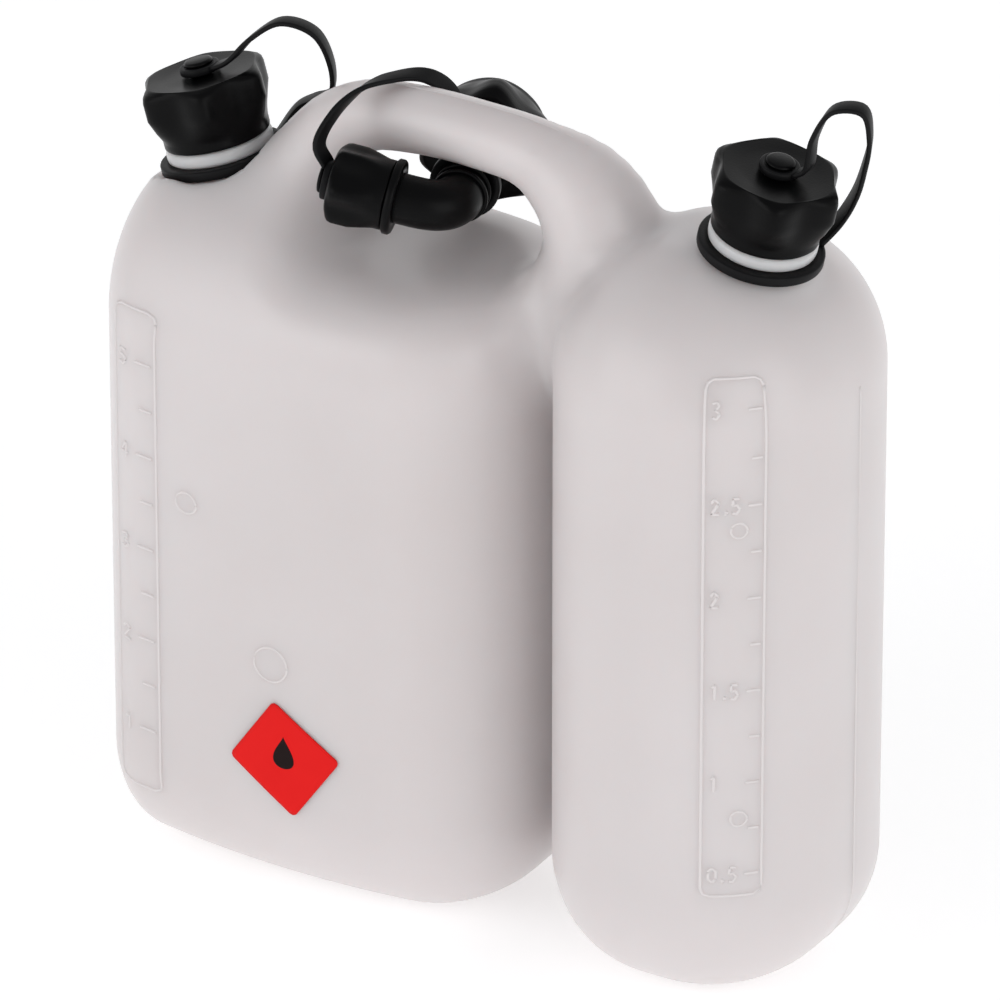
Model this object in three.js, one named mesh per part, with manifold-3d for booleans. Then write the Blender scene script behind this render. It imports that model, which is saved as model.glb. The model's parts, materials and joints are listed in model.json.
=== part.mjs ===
// Double canister for fuel and chain oil, blow moulded in one piece, with its caps and stowed spout.
// Millimetres, +Z up. The origin is on the standing plane, midway along and across the can.
// The long side runs along X: the fuel tank is at -X, the oil tank at +X, and the front face looks along -Y.
import * as THREE from "three";
import { mergeVertices } from "three/addons/utils/BufferGeometryUtils.js";
import Module from "manifold-3d";

const wasm = await Module();
wasm.setup();

// Moulded body: outside sizes
const FUEL_LENGTH = 196;
const OIL_LENGTH = 123;
const TANK_GAP = 5;
const CAN_DEPTH = 134;
const WALL = 2.4;
const FUEL_CORNER_RADIUS = 50;
const OIL_CORNER_RADIUS = 54;
const FUEL_FOOT_RADIUS = 46;
const OIL_FOOT_RADIUS = 48;
const FACE_RADIUS = 360;
const FUEL_TOP = 300;
const FUEL_SHOULDER = 63;
const FUEL_END_SHOULDER = 41;
const OIL_TOP = 314;
const OIL_SHOULDER = 55;
const OIL_END_SHOULDER = 60;
const GROOVE_FILLET = 10;
const SPAN = FUEL_LENGTH + TANK_GAP + OIL_LENGTH;
const FUEL_LEFT = -SPAN / 2;
const FUEL_RIGHT = FUEL_LEFT + FUEL_LENGTH;
const OIL_LEFT = FUEL_RIGHT + TANK_GAP;
const OIL_RIGHT = SPAN / 2;
const GAP_X = (FUEL_RIGHT + OIL_LEFT) / 2;

// Web that joins the tanks in the mould's parting plane
const WEB_THICK = 5;
const WEB_BOTTOM = 34;

// Points given over the fuel tank are counted from its left end and from its top
const overFuel = ([x, y, z]) => [FUEL_LEFT + x, y, FUEL_TOP + z];

// Handle: a hollow bar with a thin left leg and a broad right leg.
// Each place on its middle line is [x, z, radius] over the fuel tank, from the left leg to the right one.
const HANDLE_LINE = [
  [75, -16, 17],
  [85, 11, 15.5],
  [102, 26, 13.8],
  [126, 30.6, 13.3],
  [156, 30.8, 13.3],
  [181, 28, 14.5],
  [202, 16.5, 20.5],
  [211, -2, 24],
  [207, -32, 24],
];
const HANDLE_STEPS = 30;
const HANDLE_FILLET = 24;

// Finger opening under the handle, cut right through from front to back
const OPENING_LEFT = FUEL_LEFT + 89;
const OPENING_RIGHT = FUEL_RIGHT - 6;
const OPENING_FLOOR = FUEL_TOP - 24;
const OPENING_TOP = FUEL_TOP + 22;
const OPENING_RADIUS = 24;
const OPENING_RIM = 20;

// Necks, one size for both tanks
const NECK_RADIUS = 18;
const NECK_BORE = 15.5;
const NECK_LENGTH = 32;
const BEAD_RADIUS = 21.5;
const BEAD_HEIGHT = 5.5;
const SEAT_RADIUS = 20;
const NECK_FILLET = 9;
const FUEL_NECK = { x: FUEL_LEFT + 38, z: FUEL_TOP - 9.5, tilt: -16 };
const OIL_NECK = { x: OIL_RIGHT - 45, z: OIL_TOP - 2, tilt: 12 };

// Screw caps and the gaskets in them
const CAP_SKIRT_RADIUS = 21.6;
const CAP_WIDE_RADIUS = 27;
const CAP_HEIGHT = 27;
const CAP_LOBES = 6;
const CAP_FLUTE = 0.17;
const CAP_TOP_THICK = 3;
const THREAD_PLAY = 0.5;
const GASKET_THICK = 2;
const CLEARANCE = 0.3;

// Retaining straps
const RING_RADIUS = 25;
const RING_HEIGHT = 4;
const STRAP_WIDTH = 8;
const STRAP_THICK = 2;
const EYE_RADIUS = 8;
const EYE_THICK = 3;
const PIN_RADIUS = 4.4;
const PIN_HEAD_RADIUS = 5.8;
const PIN_HEAD_THICK = 1.6;

// Pouring spout, stowed level through the finger opening
const SPOUT_RADIUS = 10;
const SPOUT_WALL = 2;
const TIP_NECK_RADIUS = 11.5;
const TIP_FLANGE_RADIUS = 15;
const TIP_FLANGE_THICK = 3;
const TIP_NECK_LENGTH = 18;
const TIP_CAP_RADIUS = 16.5;
const TIP_CAP_HEIGHT = 23;
const BASE_FLANGE_RADIUS = 17.3;
const BASE_FLANGE_THICK = 3;
const NUT_HEIGHT = 22;
const SPOUT_START = overFuel([132.5, -29, 11]);
const SPOUT_ELBOW = overFuel([155, -22, 7]);
const SPOUT_END = overFuel([136, 34, 6]);
const ELBOW_RADIUS = 16;

// Sticker on the fuel tank's front face
const LABEL_SIDE = 36;
const LABEL_X = FUEL_LEFT + 104;
const LABEL_Z = 71.5;
const LABEL_TURN = 55.3;
const LABEL_THICK = 0.4;
const LABEL_STANDOFF = 0.3;

const ROUND = 32;

const SEAT_CUT_RADIUS = RING_RADIUS + 1.5;
const FUEL_TANK = {
  left: FUEL_LEFT,
  right: FUEL_RIGHT,
  top: FUEL_TOP,
  shoulder: FUEL_SHOULDER,
  endShoulder: FUEL_END_SHOULDER,
  corner: FUEL_CORNER_RADIUS,
  foot: FUEL_FOOT_RADIUS,
};
const OIL_TANK = {
  left: OIL_LEFT,
  right: OIL_RIGHT,
  top: OIL_TOP,
  shoulder: OIL_SHOULDER,
  endShoulder: OIL_END_SHOULDER,
  corner: OIL_CORNER_RADIUS,
  foot: OIL_FOOT_RADIUS,
};

// Blending of distance fields, negative inside
const softMin = (a, b, k) => {
  const h = Math.max(k - Math.abs(a - b), 0) / k;
  return Math.min(a, b) - (h * h * k) / 4;
};
const softMax = (a, b, k) => -softMin(-a, -b, k);
const roundMax = (a, b, r) =>
  Math.min(-r, Math.max(a, b)) + Math.hypot(Math.max(a + r, 0), Math.max(b + r, 0));

// Distance to a rectangle with rounded corners, of half sizes hx and hy
function roundedRectangle(x, y, hx, hy, r) {
  const qx = Math.abs(x) - hx + r;
  const qy = Math.abs(y) - hy + r;
  const outside = Math.hypot(Math.max(qx, 0), Math.max(qy, 0));
  return outside + Math.min(Math.max(qx, qy), 0) - r;
}

// Distance to a rod with round ends, whose radius grows evenly from ra to rb
function taperedRod(x, y, z, a, b, ra, rb) {
  const d = [b[0] - a[0], b[1] - a[1], b[2] - a[2]];
  const p = [x - a[0], y - a[1], z - a[2]];
  const along = (p[0] * d[0] + p[1] * d[1] + p[2] * d[2]) / (d[0] ** 2 + d[1] ** 2 + d[2] ** 2);
  const t = Math.min(Math.max(along, 0), 1);
  return Math.hypot(p[0] - t * d[0], p[1] - t * d[1], p[2] - t * d[2]) - ra - t * (rb - ra);
}

// One tank: a rounded block, crowned in front and behind, with a rolled foot and an arched shoulder.
// The shoulder may be tighter or wider at the can's end than over the depth.
function tankField(x, y, z, tank) {
  const { left, right, top, shoulder, endShoulder, corner, foot } = tank;
  const middle = (left + right) / 2;
  const crown = ((x - middle) ** 2) / (2 * FACE_RADIUS);
  const leftWall = (left - x) * (left < 0 ? shoulder / endShoulder : 1);
  const rightWall = (x - right) * (left < 0 ? 1 : shoulder / endShoulder);
  const faces = Math.abs(y) - CAN_DEPTH / 2 + crown;
  const plan = roundMax(Math.max(leftWall, rightWall), faces, corner);
  return roundMax(roundMax(plan, -z, foot), z - top, shoulder);
}

// Distance from a neck's axis and height above its seat
function inNeckFrame(x, y, z, neck) {
  const tilt = THREE.MathUtils.degToRad(neck.tilt);
  const axis = [Math.sin(tilt), 0, Math.cos(tilt)];
  const dx = x - neck.x;
  const dz = z - neck.z;
  const along = dx * axis[0] + dz * axis[2];
  return [Math.hypot(dx - along * axis[0], y, dz - along * axis[2]), along];
}

// The short round boss under a neck
function neckBoss(x, y, z, neck) {
  const [across, along] = inNeckFrame(x, y, z, neck);
  return roundMax(across - SEAT_RADIUS, Math.abs(along + NECK_LENGTH / 2) - NECK_LENGTH / 2, 1);
}

// The round flat that the strap's ring lies on: everything above it is cut from the shoulder
function seatCut(x, y, z, neck) {
  const [across, along] = inNeckFrame(x, y, z, neck);
  return roundMax(across - SEAT_CUT_RADIUS, -along, 1);
}

function openingField(x, z) {
  const half = (OPENING_RIGHT - OPENING_LEFT) / 2;
  const tall = (OPENING_TOP - OPENING_FLOOR) / 2;
  return roundedRectangle(x - OPENING_LEFT - half, z - OPENING_FLOOR - tall, half, tall, OPENING_RADIUS);
}

const handleCurve = new THREE.CatmullRomCurve3(
  HANDLE_LINE.map(([x, z, radius]) => new THREE.Vector3(FUEL_LEFT + x, FUEL_TOP + z, radius)),
);
const handlePlaces = handleCurve.getPoints(HANDLE_STEPS);

function handleField(x, y, z) {
  let nearest = Infinity;
  for (let i = 0; i < HANDLE_STEPS; i += 1) {
    const [a, b] = [handlePlaces[i], handlePlaces[i + 1]];
    nearest = Math.min(nearest, taperedRod(x, y, z, [a.x, 0, a.y], [b.x, 0, b.y], a.z, b.z));
  }
  return nearest;
}

function fuelHollow(x, y, z) {
  const tank = tankField(x, y, z, FUEL_TANK);
  const scooped = softMax(tank, -openingField(x, z), OPENING_RIM);
  return softMin(scooped, handleField(x, y, z), HANDLE_FILLET);
}

const oilHollow = (x, y, z) => tankField(x, y, z, OIL_TANK);
const withNeck = (d, x, y, z, neck) => softMin(d, neckBoss(x, y, z, neck), NECK_FILLET);
const fuelField = (x, y, z) => withNeck(fuelHollow(x, y, z), x, y, z, FUEL_NECK);
const oilField = (x, y, z) => withNeck(oilHollow(x, y, z), x, y, z, OIL_NECK);

// The hollow of a tank: one wall inside the skin, and a little more under the neck's seat
function hollowField(x, y, z, hollow, neck) {
  return softMax(hollow(x, y, z) + WALL, 2 * WALL - seatCut(x, y, z, neck), 6);
}

function webField(x, y, z) {
  const reach = TANK_GAP / 2 + 12;
  const tall = Math.max(WEB_BOTTOM - z, z - OIL_TOP + 20);
  return Math.max(Math.abs(x - GAP_X) - reach, Math.abs(y) - WEB_THICK / 2, tall);
}

function skinField(x, y, z) {
  const both = softMin(fuelField(x, y, z), oilField(x, y, z), GROOVE_FILLET);
  return softMin(both, webField(x, y, z), 3);
}

// Grid lines from stretches, each [start, end, step], with one spare line outside each end
function gridLines(stretches) {
  const last = stretches[stretches.length - 1];
  const lines = [stretches[0][0] - stretches[0][2]];
  for (const [start, end, step] of stretches) {
    const count = Math.max(1, Math.round((end - start) / step));
    for (let i = 0; i < count; i += 1) {
      lines.push(start + ((end - start) * i) / count);
    }
  }
  lines.push(last[1], last[1] + last[2]);
  return lines;
}

// Closed mesh of the surface where the field is zero, one vertex for each grid cell that it crosses
function meshField(field, [xs, ys, zs]) {
  const [nx, ny, nz] = [xs.length, ys.length, zs.length];
  const at = (i, j, k) => (i * ny + j) * nz + k;
  const values = new Float64Array(nx * ny * nz);
  for (let i = 0; i < nx; i += 1) {
    for (let j = 0; j < ny; j += 1) {
      for (let k = 0; k < nz; k += 1) {
        values[at(i, j, k)] = field(xs[i], ys[j], zs[k]);
      }
    }
  }
  const corners = [0, 1, 2, 3, 4, 5, 6, 7].map((n) => [n & 1, (n >> 1) & 1, n >> 2]);
  const edges = [];
  corners.forEach((a, m) => corners.forEach((b, n) => {
    if (m < n && Math.abs(a[0] - b[0]) + Math.abs(a[1] - b[1]) + Math.abs(a[2] - b[2]) === 1) {
      edges.push([a, b]);
    }
  }));
  const place = (c, i, j, k) => [xs[i + c[0]], ys[j + c[1]], zs[k + c[2]]];
  const vertexOf = new Map();
  const positions = [];
  for (let i = 0; i < nx - 1; i += 1) {
    for (let j = 0; j < ny - 1; j += 1) {
      for (let k = 0; k < nz - 1; k += 1) {
        const sum = [0, 0, 0];
        let hits = 0;
        for (const [a, b] of edges) {
          const va = values[at(i + a[0], j + a[1], k + a[2])];
          const vb = values[at(i + b[0], j + b[1], k + b[2])];
          if (va < 0 === vb < 0) {
            continue;
          }
          const t = va / (va - vb);
          const pa = place(a, i, j, k);
          const pb = place(b, i, j, k);
          for (let n = 0; n < 3; n += 1) {
            sum[n] += pa[n] + t * (pb[n] - pa[n]);
          }
          hits += 1;
        }
        if (hits) {
          vertexOf.set(at(i, j, k), positions.length / 3);
          positions.push(...ontoSurface(field, sum.map((s) => s / hits)));
        }
      }
    }
  }
  const indices = [];
  const addQuad = (a, b, c, d, flip) => {
    const q = [a, b, c, d].map((n) => vertexOf.get(n));
    if (flip) {
      q.reverse();
    }
    const gap = (m, n) => Math.hypot(...[0, 1, 2].map((s) => positions[3 * q[m] + s] - positions[3 * q[n] + s]));
    if (gap(0, 2) <= gap(1, 3)) {
      indices.push(q[0], q[1], q[2], q[0], q[2], q[3]);
    } else {
      indices.push(q[0], q[1], q[3], q[1], q[2], q[3]);
    }
  };
  for (let i = 1; i < nx - 1; i += 1) {
    for (let j = 1; j < ny - 1; j += 1) {
      for (let k = 1; k < nz - 1; k += 1) {
        const here = values[at(i, j, k)] < 0;
        if (here !== values[at(i + 1, j, k)] < 0) {
          addQuad(at(i, j - 1, k - 1), at(i, j, k - 1), at(i, j, k), at(i, j - 1, k), !here);
        }
        if (here !== values[at(i, j + 1, k)] < 0) {
          addQuad(at(i - 1, j, k - 1), at(i - 1, j, k), at(i, j, k), at(i, j, k - 1), !here);
        }
        if (here !== values[at(i, j, k + 1)] < 0) {
          addQuad(at(i - 1, j - 1, k), at(i, j - 1, k), at(i, j, k), at(i - 1, j, k), !here);
        }
      }
    }
  }
  const geometry = new THREE.BufferGeometry();
  geometry.setAttribute("position", new THREE.Float32BufferAttribute(positions, 3));
  geometry.setIndex(indices);
  return geometry;
}

// Slides a point along the field's slope until it lies on the surface
function ontoSurface(field, point, level = 0) {
  const p = [...point];
  const step = 0.01;
  for (let round = 0; round < 4; round += 1) {
    const value = field(...p) - level;
    const slope = [0, 1, 2].map((n) => {
      const q = [...p];
      q[n] += step;
      return (field(...q) - level - value) / step;
    });
    const steep = Math.max(slope[0] ** 2 + slope[1] ** 2 + slope[2] ** 2, 0.1);
    for (let n = 0; n < 3; n += 1) {
      p[n] -= (value * slope[n]) / steep;
    }
  }
  return p;
}

// Joins and cuts
function solid(geometry) {
  const bare = geometry.clone();
  bare.deleteAttribute("normal");
  bare.deleteAttribute("uv");
  const merged = mergeVertices(bare, 1e-4);
  return new wasm.Manifold(new wasm.Mesh({
    numProp: 3,
    vertProperties: merged.attributes.position.array,
    triVerts: new Uint32Array(merged.index.array),
  }));
}

function geometryOf(body) {
  const mesh = body.getMesh();
  const geometry = new THREE.BufferGeometry();
  geometry.setAttribute("position", new THREE.BufferAttribute(new Float32Array(mesh.vertProperties), 3));
  geometry.setIndex(new THREE.BufferAttribute(new Uint32Array(mesh.triVerts), 1));
  return geometry;
}

const joined = (...parts) => geometryOf(parts.map(solid).reduce((a, b) => a.add(b)));

// A closed solid of revolution about Z, from [radius, height] pairs listed anticlockwise round the section
function turned(profile, segments = ROUND) {
  const points = profile.map(([r, z]) => new THREE.Vector2(r, z));
  const onAxis = profile[0][0] === 0 && profile[profile.length - 1][0] === 0;
  if (!onAxis) {
    points.push(points[0].clone());
  }
  return new THREE.LatheGeometry(points, segments).rotateX(Math.PI / 2);
}

const disc = (radius, low, high, segments) =>
  turned([[0, low], [radius, low], [radius, high], [0, high]], segments);

const tube = (inner, outer, low, high, segments) =>
  turned([[inner, low], [outer, low], [outer, high], [inner, high]], segments);

// The frame of a neck: its origin is the centre of the seat, and Z is the neck's axis
function neckMatrix(neck) {
  const turn = new THREE.Matrix4().makeRotationY(THREE.MathUtils.degToRad(neck.tilt));
  return new THREE.Matrix4().makeTranslation(neck.x, 0, neck.z).multiply(turn);
}

const BEAD_LOW = RING_HEIGHT + 2 * CLEARANCE;
const BEAD_HIGH = BEAD_LOW + BEAD_HEIGHT;
const CAP_FOOT = BEAD_HIGH + CLEARANCE;
const NECK_TOP = NECK_LENGTH;

// Neck: the groove for the strap's ring, the bead and the threaded mouth
function neckOutside() {
  return turned([
    [0, -6],
    [SEAT_RADIUS, -6],
    [SEAT_RADIUS, BEAD_LOW],
    [BEAD_RADIUS - 0.8, BEAD_LOW],
    [BEAD_RADIUS, BEAD_LOW + 1],
    [BEAD_RADIUS, BEAD_HIGH - 1.2],
    [BEAD_RADIUS - 1.2, BEAD_HIGH],
    [NECK_RADIUS, BEAD_HIGH],
    [NECK_RADIUS, NECK_TOP - 0.6],
    [NECK_RADIUS - 0.6, NECK_TOP],
    [0, NECK_TOP],
  ]);
}

// Grids for the skin and for the hollows: close at the gap between the tanks, wide on the flat faces
const GRID_OUTER = [
  gridLines([[FUEL_LEFT - 4, GAP_X - 16, 14.5], [GAP_X - 16, GAP_X - 6, 5], [GAP_X - 6, GAP_X + 6, 3],
    [GAP_X + 6, OIL_RIGHT + 4, 12.4]]),
  gridLines([[-CAN_DEPTH / 2 - 5, -24, 12], [-24, 24, 8], [24, CAN_DEPTH / 2 + 5, 12]]),
  gridLines([[-6, 6, 4], [6, 54, 12], [54, FUEL_TOP - 62, 61], [FUEL_TOP - 62, FUEL_TOP + 54, 10.5]]),
];
const GRID_INNER = [
  gridLines([[FUEL_LEFT - 2, GAP_X - 14, 19], [GAP_X - 14, GAP_X - 5, 4.5], [GAP_X - 5, GAP_X + 5, 3.3],
    [GAP_X + 5, OIL_RIGHT + 2, 16.5]]),
  gridLines([[-CAN_DEPTH / 2 - 3, -24, 15.5], [-24, 24, 8], [24, CAN_DEPTH / 2 + 3, 15.5]]),
  gridLines([[-4, 6, 3.3], [6, 54, 16], [54, FUEL_TOP - 62, 92], [FUEL_TOP - 62, FUEL_TOP + 50, 12.5]]),
];

function canBody() {
  let body = solid(meshField(skinField, GRID_OUTER));
  for (const [neck, hollow] of [[FUEL_NECK, fuelHollow], [OIL_NECK, oilHollow]]) {
    const place = neckMatrix(neck);
    const inside = solid(meshField((x, y, z) => hollowField(x, y, z, hollow, neck), GRID_INNER));
    const seat = solid(disc(SEAT_CUT_RADIUS, 0, NECK_TOP).applyMatrix4(place));
    const bore = solid(disc(NECK_BORE, -3 * WALL - 8, NECK_TOP + 4).applyMatrix4(place));
    body = body.subtract(seat).add(solid(neckOutside().applyMatrix4(place))).subtract(inside).subtract(bore);
  }
  return geometryOf(body);
}

// Pushes flutes into the outside of a turned piece, deepest where it is widest
function fluted(geometry, lobes, share, from, outerRadius) {
  const p = geometry.attributes.position;
  for (let i = 0; i < p.count; i += 1) {
    const radius = Math.hypot(p.getX(i), p.getY(i));
    if (radius < from) {
      continue;
    }
    const angle = Math.atan2(p.getY(i), p.getX(i));
    const wave = 0.5 - 0.5 * Math.cos(lobes * angle);
    const depth = share * outerRadius * wave ** 0.8 * Math.min(1, (radius - from) / (outerRadius - from));
    const k = (radius - depth) / radius;
    p.setXY(i, p.getX(i) * k, p.getY(i) * k);
  }
  return geometry;
}

// Screw cap standing on Z = 0, open below, with the pin on top that holds the strap's eye
function screwCap(wide, skirt, height, inner, depth, lobes, pin) {
  const top = height;
  const shell = fluted(turned([
    [0, depth],
    [inner, depth],
    [inner, 0],
    [skirt, 0],
    [skirt, height * 0.14],
    [skirt + (wide - skirt) * 0.55, height * 0.34],
    [wide, height * 0.56],
    [wide, height * 0.84],
    [wide - 1.6, height * 0.95],
    [wide - 4, top],
    [0, top],
  ], lobes * 6), lobes, CAP_FLUTE, skirt * 0.985, wide);
  const stem = disc(pin, top - 1, top + EYE_THICK + 2 * CLEARANCE + 0.2, 24);
  const headLow = top + EYE_THICK + 2 * CLEARANCE;
  const head = turned([
    [0, headLow],
    [PIN_HEAD_RADIUS, headLow],
    [PIN_HEAD_RADIUS, headLow + PIN_HEAD_THICK * 0.5],
    [PIN_HEAD_RADIUS - 1, headLow + PIN_HEAD_THICK],
    [0, headLow + PIN_HEAD_THICK],
  ], 24);
  return joined(shell, stem, head);
}

// A flat band along a smooth curve; its width direction turns evenly from one vector to another
function band(points, widthFrom, widthTo, width, thick, steps) {
  const curve = new THREE.CatmullRomCurve3(points.map((p) => new THREE.Vector3(...p)));
  const from = new THREE.Vector3(...widthFrom);
  const to = new THREE.Vector3(...widthTo);
  const positions = [];
  const corner = [[-1, -0.5], [-0.75, -1], [0.75, -1], [1, -0.5], [1, 0.5], [0.75, 1], [-0.75, 1], [-1, 0.5]];
  for (let i = 0; i <= steps; i += 1) {
    const t = i / steps;
    const centre = curve.getPointAt(t);
    const tangent = curve.getTangentAt(t);
    const side = from.clone().lerp(to, t);
    side.addScaledVector(tangent, -side.dot(tangent)).normalize();
    const up = new THREE.Vector3().crossVectors(tangent, side);
    for (const [u, v] of corner) {
      const q = centre.clone().addScaledVector(side, (u * width) / 2).addScaledVector(up, (v * thick) / 2);
      positions.push(q.x, q.y, q.z);
    }
  }
  const n = corner.length;
  const indices = [];
  for (let i = 0; i < steps; i += 1) {
    for (let c = 0; c < n; c += 1) {
      const a = i * n + c;
      const b = i * n + ((c + 1) % n);
      indices.push(a, b, b + n, a, b + n, a + n);
    }
  }
  for (let c = 1; c < n - 1; c += 1) {
    indices.push(0, c + 1, c);
    indices.push(steps * n, steps * n + c, steps * n + c + 1);
  }
  const geometry = new THREE.BufferGeometry();
  geometry.setAttribute("position", new THREE.Float32BufferAttribute(positions, 3));
  geometry.setIndex(indices);
  return geometry;
}

const CAP_DEPTH = CAP_HEIGHT - CAP_TOP_THICK;
const EYE_LOW = CAP_FOOT + CAP_HEIGHT + CLEARANCE;
const EYE_MIDDLE = EYE_LOW + EYE_THICK / 2;

// Strap of a main cap, in the neck's frame: ring under the bead, band, and eye on the cap's pin
function capStrap(route) {
  const ring = tube(SEAT_RADIUS + CLEARANCE, RING_RADIUS, CLEARANCE, CLEARANCE + RING_HEIGHT);
  const eye = tube(PIN_RADIUS + CLEARANCE, EYE_RADIUS, EYE_LOW, EYE_LOW + EYE_THICK, 24);
  const reach = (PIN_RADIUS + CLEARANCE + EYE_RADIUS) / 2 + 0.4;
  const ringMiddle = (SEAT_RADIUS + RING_RADIUS) / 2 + 0.4;
  const end = route[route.length - 1];
  const away = Math.hypot(end[0], end[1]);
  const points = [
    [reach, 0, EYE_MIDDLE],
    ...route,
    [(end[0] / away) * ringMiddle, (end[1] / away) * ringMiddle, RING_HEIGHT],
  ];
  const across = [-end[1] / away, end[0] / away, 0];
  return joined(ring, eye, band(points, [0, 1, 0], across, STRAP_WIDTH, STRAP_THICK, 26));
}

const FUEL_STRAP_ROUTE = [
  [14, 1, EYE_MIDDLE + 2],
  [26, 4, 49.5],
  [39, 8, 54],
  [49, 13, 47],
  [50, 17, 32],
  [44, 20, 19],
  [34, 21.5, 16],
  [26, 21, 13],
];
const OIL_STRAP_ROUTE = [
  [11, 1, EYE_MIDDLE + 4],
  [10.5, 2, 57],
  [15, 4, 71],
  [25, 8, 73.5],
  [29, 11, 62],
  [28, 15, 45],
  [24.5, 20, 28],
  [19.5, 21.5, 13],
];

const BLACK = new THREE.MeshStandardMaterial({ color: 0x17171a, roughness: 0.45, metalness: 0 });
const RUBBER = new THREE.MeshStandardMaterial({ color: 0x2a2a2c, roughness: 0.8, metalness: 0 });
const NATURAL = new THREE.MeshStandardMaterial({ color: 0xcfc8c6, roughness: 0.5, metalness: 0 });
const RED = new THREE.MeshStandardMaterial({ color: 0xee2824, roughness: 0.4, metalness: 0 });

function named(name, geometry, material) {
  const mesh = new THREE.Mesh(geometry, material);
  mesh.name = name;
  return mesh;
}

// Cap, gasket and strap of one tank, placed on its neck
function neckFittings(prefix, neck, route) {
  const group = new THREE.Group();
  group.position.set(neck.x, 0, neck.z);
  group.rotation.y = THREE.MathUtils.degToRad(neck.tilt);
  const inner = NECK_RADIUS + THREAD_PLAY;
  const cap = screwCap(CAP_WIDE_RADIUS, CAP_SKIRT_RADIUS, CAP_HEIGHT, inner, CAP_DEPTH, CAP_LOBES, PIN_RADIUS);
  const capMesh = named(prefix + "_cap", cap, BLACK);
  capMesh.position.z = CAP_FOOT;
  const gasketLow = NECK_TOP + CLEARANCE / 3;
  const gasket = disc(inner - CLEARANCE, gasketLow, gasketLow + GASKET_THICK, 32);
  group.add(capMesh, named(prefix + "_cap_gasket", gasket, RUBBER));
  group.add(named(prefix + "_cap_strap", capStrap(route), BLACK));
  return group;
}

// Thin square sticker laid on the front face, turned to stand on one corner
function label() {
  const cells = 10;
  const half = LABEL_SIDE / 2;
  const turn = THREE.MathUtils.degToRad(LABEL_TURN);
  const positions = [];
  for (const height of [LABEL_STANDOFF, LABEL_STANDOFF + LABEL_THICK]) {
    for (let i = 0; i <= cells; i += 1) {
      for (let j = 0; j <= cells; j += 1) {
        const u = half * ((2 * i) / cells - 1);
        const v = half * ((2 * j) / cells - 1);
        const x = LABEL_X + u * Math.cos(turn) - v * Math.sin(turn);
        const z = LABEL_Z + u * Math.sin(turn) + v * Math.cos(turn);
        const y = ontoSurface((a, b, c) => fuelField(x, b, z), [x, -CAN_DEPTH / 2, z])[1];
        positions.push(x, y - height, z);
      }
    }
  }
  const row = cells + 1;
  const sheet = row * row;
  const indices = [];
  const quad = (a, b, c, d) => indices.push(a, b, c, a, c, d);
  for (let i = 0; i < cells; i += 1) {
    for (let j = 0; j < cells; j += 1) {
      const a = i * row + j;
      quad(a, a + 1, a + row + 1, a + row);
      quad(a + sheet, a + row + sheet, a + row + 1 + sheet, a + 1 + sheet);
    }
    const ends = [[i * row, (i + 1) * row], [(i + 1) * row + cells, i * row + cells],
      [i + 1, i], [cells * row + i, cells * row + i + 1]];
    for (const [a, b] of ends) {
      quad(a, b, b + sheet, a + sheet);
    }
  }
  const geometry = new THREE.BufferGeometry();
  geometry.setAttribute("position", new THREE.Float32BufferAttribute(positions, 3));
  geometry.setIndex(indices);
  return geometry;
}

// Plan route of the spout: two straight legs and a round elbow, at the stowing height
function spoutCurve() {
  const [start, elbow, end] = [SPOUT_START, SPOUT_ELBOW, SPOUT_END].map((p) => new THREE.Vector3(...p));
  const back = start.clone().sub(elbow).normalize();
  const on = end.clone().sub(elbow).normalize();
  const curve = new THREE.CurvePath();
  const bendStart = elbow.clone().addScaledVector(back, ELBOW_RADIUS);
  const bendEnd = elbow.clone().addScaledVector(on, ELBOW_RADIUS);
  curve.add(new THREE.LineCurve3(start, bendStart));
  curve.add(new THREE.QuadraticBezierCurve3(bendStart, elbow, bendEnd));
  curve.add(new THREE.LineCurve3(bendEnd, end));
  return curve;
}

// Rings of a round tube along the curve; sections are [share of length, radius] pairs
function pipe(curve, sections, segments) {
  const flat = new THREE.Vector3(0, 0, 1);
  const positions = [];
  for (const [t, radius] of sections) {
    const centre = curve.getPoint(t);
    const tangent = curve.getTangent(t);
    const side = new THREE.Vector3().crossVectors(flat, tangent).normalize();
    const rise = new THREE.Vector3().crossVectors(tangent, side);
    for (let c = 0; c < segments; c += 1) {
      const angle = (2 * Math.PI * c) / segments;
      const q = centre.clone().addScaledVector(side, radius * Math.cos(angle));
      q.addScaledVector(rise, radius * Math.sin(angle));
      positions.push(q.x, q.y, q.z);
    }
  }
  const indices = [];
  const last = sections.length - 1;
  for (let i = 0; i < last; i += 1) {
    for (let c = 0; c < segments; c += 1) {
      const a = i * segments + c;
      const b = i * segments + ((c + 1) % segments);
      indices.push(a, b, b + segments, a, b + segments, a + segments);
    }
  }
  for (let c = 1; c < segments - 1; c += 1) {
    indices.push(0, c + 1, c);
    indices.push(last * segments, last * segments + c, last * segments + c + 1);
  }
  const geometry = new THREE.BufferGeometry();
  geometry.setAttribute("position", new THREE.Float32BufferAttribute(positions, 3));
  geometry.setIndex(indices);
  return geometry;
}

// Frame at one end of the spout: Z points out of the tube's end
function endMatrix(curve, t) {
  const out = curve.getTangent(t).multiplyScalar(t > 0.5 ? 1 : -1);
  const turn = new THREE.Quaternion().setFromUnitVectors(new THREE.Vector3(0, 0, 1), out);
  return new THREE.Matrix4().compose(curve.getPoint(t), turn, new THREE.Vector3(1, 1, 1));
}

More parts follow.
